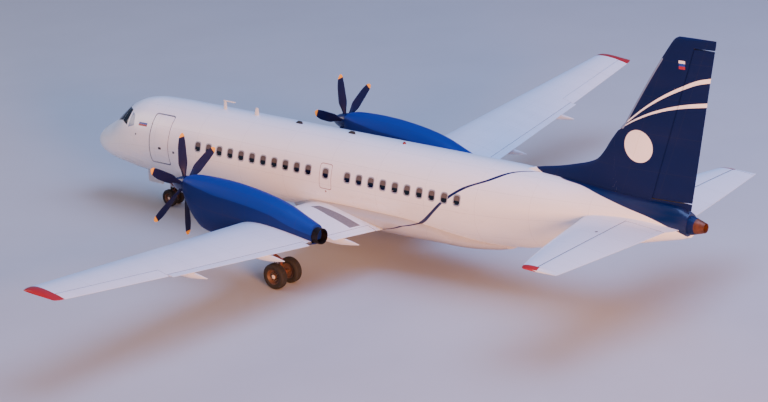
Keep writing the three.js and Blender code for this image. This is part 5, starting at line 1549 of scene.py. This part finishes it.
rudder_tool = tail_part(room_zs, lambda z: lens_room(FIN, z, rudder_hinge(z), RUDDER), True, 1)
fin_skin = marked_fin(carve(tail_part(fin_zs, fin_section, True), rudder_tool))
piece("fin_skin", [fin_skin], [fin_navy, dark_cove], "airframe", ["fin"])
rudder_zs = np.linspace(RUDDER["low"], RUDDER["high"], 70)
rudder = marked_fin(tail_part(rudder_zs, lambda z: moving_lens(FIN, z, rudder_hinge(z)), True))
piece("rudder_skin", [rudder], [fin_navy], "rudder", ["rudder"])
FIN_FLAG = {"from": 25.60, "to": 25.82, "low": 8.20, "band": 0.09}
FIN_FLAG_PROFILE = [(share, FILM) for share in (0, 0.5, 0.99)] + [(1.0, FILM_FOOT), (0, FILM_FOOT)]


def fin_place(station, z, lift):
    """A point on the fin's left face, or off it by a lift."""
    return np.stack(np.broadcast_arrays(lens_face(FIN, z, station) + lift, aft(station), z), -1)


flags = []
for finish in range(3):
    low = FIN_FLAG["low"] + (2 - finish) * FIN_FLAG["band"]
    outline = rectangle(FIN_FLAG["from"], FIN_FLAG["to"], low, low + FIN_FLAG["band"], 0.002)
    flags.append(patch(fin_place, outline, FIN_FLAG_PROFILE, finish=finish))
piece("fin_side_flags", both_sides(flags), [decal_white, decal_blue, decal_red], "airframe")


# Tailplane and elevators
# Two-spar surfaces like the fin, painted pale grey, with an aluminium fillet over each root.

# Columns: place along the span, leading edge, trailing edge, thickness
TAILPLANE = np.array([
    (0.30, 22.370, 25.500, 0.330),
    (5.42, 23.470, 24.820, 0.150),
    (5.55, 23.560, 24.800, 0.050),
])
# The fillet over each root, with the same columns
ROOT_FILLET = np.array([
    (0.20, 21.95, 25.75, 0.72),
    (0.45, 22.12, 25.66, 0.56),
    (0.60, 22.25, 25.58, 0.44),
    (0.74, 22.42, 25.46, 0.335),
    (0.79, 22.52, 25.38, 0.290),
])
ELEVATOR = {"from": 0.80, "to": 5.38, "hinge": 24.05, "gap": 0.012, "cut_to": 26.5}
# The red starts at a place along the span and ends at a station
RED_TIP = {"span": 5.37, "station": 24.1}
DRAIN = {"span": 2.07, "station": 23.80, "radius": 0.06}
# The tailplane is a shade paler than the wing, with a black rubber drain plug on each half
pale_tail = gloss_paint(
    "pale_grey_tailplane_gloss", "E6EAF0", layers=(("A80F18", "red_tip"), ("1C1D20", "drain")),
    seams=("tail_span", 1.1, "tail_station", 1.2), roughness=0.3)


def marked_tail(part):
    """Marks for the seams, for the red tip ahead of the hinge line and for the drain plug."""
    span, station = np.abs(part["points"][:, 0]), part["points"][:, 1] - cad_low.y
    part["marks"] = {
        "tail_span": span,
        "tail_station": station,
        "red_tip": np.maximum(RED_TIP["span"] - span, station - RED_TIP["station"]),
        "drain": np.hypot(span - DRAIN["span"], station - DRAIN["station"]) - DRAIN["radius"],
    }
    return part


tail_xs = np.concatenate([
    np.linspace(0.30, 5.35, 100), [5.366, 5.374, 5.42],
    5.42 + 0.13 * np.sin(np.linspace(0.2, np.pi / 2, 7))])
room_xs = np.linspace(ELEVATOR["from"] - ELEVATOR["gap"], ELEVATOR["to"] + ELEVATOR["gap"], 12)
fillet_xs = np.linspace(0.20, 0.785, 14)
elevator_xs = np.linspace(ELEVATOR["from"], ELEVATOR["to"], 50)
tail_tool = tail_part(room_xs, lambda x: lens_room(TAILPLANE, x, ELEVATOR["hinge"], ELEVATOR), finish=1)
tail_skin = marked_tail(carve(tail_part(tail_xs, lambda x: lens(TAILPLANE, x)), tail_tool))
fillet = marked_tail(tail_part(fillet_xs, lambda x: lens(ROOT_FILLET, x)))
elevator = marked_tail(tail_part(elevator_xs, lambda x: moving_lens(TAILPLANE, x, ELEVATOR["hinge"])))
piece_pair("tailplane_skin_", [tail_skin, fillet], [pale_tail, dark_cove],
           "airframe", "grey_paint", "tailplane_")
piece_pair("elevator_skin_", [elevator], [pale_tail], "elevator_", "grey_paint", "elevator_")


# Tail cone
# The auxiliary power unit's exhaust: a steel cone, open at the end, its brown partly a heat tint and
# partly painted warm light. A navy collar covers its front.

# The steel is mottled from red-brown to dark brown with a metal's sheen, a heat tint with warm light
# painted into it, and the collar's navy shines a little more than the fin's
cone_steel = plain_finish("heat_tint_and_warm_light_steel", "7E4A30", "5A382A", 0.15, 0.42, 0.6)
collar_navy = gloss_paint("navy_collar_gloss", "011448", roughness=0.4, coat=0.05, dirt=0.02, specular=0.2)
CONE_HEIGHT = 3.24
# Station and radius of the cone, out to its end and back inside, and of the collar
CONE = [(25.86, 0.0), (25.86, 0.305), (25.93, 0.295), (26.20, 0.224), (26.41, 0.160), (26.43, 0.155),
        (26.43, 0.145), (26.40, 0.138), (26.14, 0.138), (26.14, 0.0)]
COLLAR = [(25.88, 0.0), (25.88, 0.306), (25.93, 0.2985), (26.10, 0.2545), (26.115, 0.2475), (26.11, 0.0)]
tail_cone, collar = (
    turned([(aft(station), radius) for station, radius in profile], (0, 0, CONE_HEIGHT), "y", finish=finish)
    for finish, profile in enumerate((CONE, COLLAR)))
piece("tail_cone_nozzle", [tail_cone, collar], [cone_steel, collar_navy],
      "airframe", ["tail_nozzle"])


# Aerials and beacon
# Glass fibre blade aerials screwed on the crown and the belly, the front one with a bar across its
# tip, two low black ones over the cabin, and a red glass beacon on the crown.

def blade_aerial(station, z, height, chord, rake, up=1, half=0.014, finish=0):
    """A raked aerial: lens-shaped sections that shrink from the foot to the tip."""
    share = np.linspace(0, 1, 8)[:, None]
    angle = np.linspace(0, 2 * np.pi, 25)[:-1]
    size = 1 - 0.45 * share ** 1.5
    y = aft(station) + rake * share + chord / 2 * size * np.cos(angle)
    rings = np.broadcast_arrays(half * size * np.sin(angle), y, z + up * height * share)
    return loft(np.stack(rings, -1), finish=finish)


# Aerial enamel is an even off-white, the erosion coating black and dull, and the beacon's glass a
# deep wet red
aerial_paint = plain_finish("white_aerial_enamel", "E6E6E4", "DADAD8", 0.05, 0.35)
dark_aerial = plain_finish("black_erosion_coating", "202124", "2A2B2E", 0.03, 0.5)
beacon_red = plain_finish("red_beacon_lens", "7E1414", "6A0E0E", 0.02, 0.12)
# The bar along the front aerial's tip: stations, heights and half its width
AERIAL_BAR = {"from": 6.37, "to": 6.92, "low": 4.385, "high": 4.425, "half": 0.014}
BEACON = {"station": 14.6, "z": 4.085}
BEACON_PROFILE = [(-0.07, 0.0), (-0.065, 0.03), (-0.03, 0.055), (0.0, 0.06), (0.0, 0.0)]
aerials = [
    blade_aerial(6.42, 4.06, 0.36, 0.17, 0.02),
    box_part((-AERIAL_BAR["half"], aft(AERIAL_BAR["from"]), AERIAL_BAR["low"]),
             (AERIAL_BAR["half"], aft(AERIAL_BAR["to"]), AERIAL_BAR["high"])),
    blade_aerial(7.92, 4.06, 0.30, 0.22, 0.04),
    blade_aerial(15.8, 1.10, 0.22, 0.24, 0.08, up=-1),
    blade_aerial(9.91, 4.08, 0.10, 0.34, 0.05, half=0.03, finish=1),
    blade_aerial(12.29, 4.08, 0.10, 0.34, 0.05, half=0.03, finish=1),
]
beacon = turned(BEACON_PROFILE, (0, 0, 0), "y", 24, 2)
across, along, up = beacon["points"].T
beacon["points"] = np.column_stack([across, aft(BEACON["station"]) + up, BEACON["z"] - along])
piece("aerials_and_beacon", [*aerials, beacon], [aerial_paint, dark_aerial, beacon_red],
      "airframe")


# Floor, lights and camera
# A plain pale floor, soft studio light, and a camera at the photograph's viewing angle.

# A matt pale screed
floor_finish = plain_finish("pale_studio_floor", "BFBDB9", "BBB9B5", 4.0, 0.8)
FLOOR_HALF = 300
floor_corners = [(x * FLOOR_HALF, y * FLOOR_HALF, 0) for x, y in ((-1, -1), (1, -1), (1, 1), (-1, 1))]
floor_mesh = bpy.data.meshes.new("floor")
floor_mesh.from_pydata(floor_corners, [], [(0, 1, 2, 3)])
floor_mesh.materials.append(floor_finish)
floor = bpy.data.objects.new("floor", floor_mesh)
bpy.context.scene.collection.objects.link(floor)
floor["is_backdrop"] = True

# A low warm lamp on the left, a large cool one overhead and a weak one ahead, all turned to a point
# between the wings
AIM = Vector((0, 0, 3))
LAMPS = (
    # name, place, size, power, colour
    ("warm_key", (48, 78, 18), 24, 195000, "FFAE74"),
    ("cool_fill", (-10, 20, 60), 60, 66000, "92B4FF"),
    ("nose_fill", (20, -60, 30), 30, 12000, "FFE9D6"),
)
for lamp_name, place, size, power, colour in LAMPS:
    light = bpy.data.lights.new(lamp_name, "AREA")
    light.size = size
    light.energy = power
    light.color = linear(colour)[:3]
    lamp = bpy.data.objects.new(lamp_name, light)
    lamp.location = place
    lamp.rotation_euler = (AIM - Vector(place)).to_track_quat("-Z", "Y").to_euler()
    bpy.context.scene.collection.objects.link(lamp)
world = bpy.data.worlds.new("studio")
world.use_nodes = True
world.node_tree.nodes["Background"].inputs["Color"].default_value = linear("A6BEF4")
world.node_tree.nodes["Background"].inputs["Strength"].default_value = 0.42
bpy.context.scene.world = world

# The camera's place in metres, its angles in degrees and its lens in millimetres
VIEW = {"place": (60.52, 52.05, 28.62), "yaw": -130.63, "pitch": -18.53, "roll": -3.2, "lens": 116.3}
yaw, pitch, roll = (math.radians(VIEW[key]) for key in ("yaw", "pitch", "roll"))
ahead = Vector((math.sin(yaw) * math.cos(pitch), math.cos(yaw) * math.cos(pitch), math.sin(pitch)))
right = ahead.cross(Vector((0, 0, 1))).normalized()
up = right.cross(ahead)
tilted_right = right * math.cos(roll) + up * math.sin(roll)
tilted_up = up * math.cos(roll) - right * math.sin(roll)
camera_data = bpy.data.cameras.new("camera")
camera_data.lens = VIEW["lens"]
camera_data.clip_end = 1000
camera = bpy.data.objects.new("camera", camera_data)
turn = Matrix((tilted_right, tilted_up, -ahead)).transposed().to_4x4()
camera.matrix_world = Matrix.Translation(VIEW["place"]) @ turn
bpy.context.scene.collection.objects.link(camera)
bpy.context.scene.camera = camera

low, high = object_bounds()
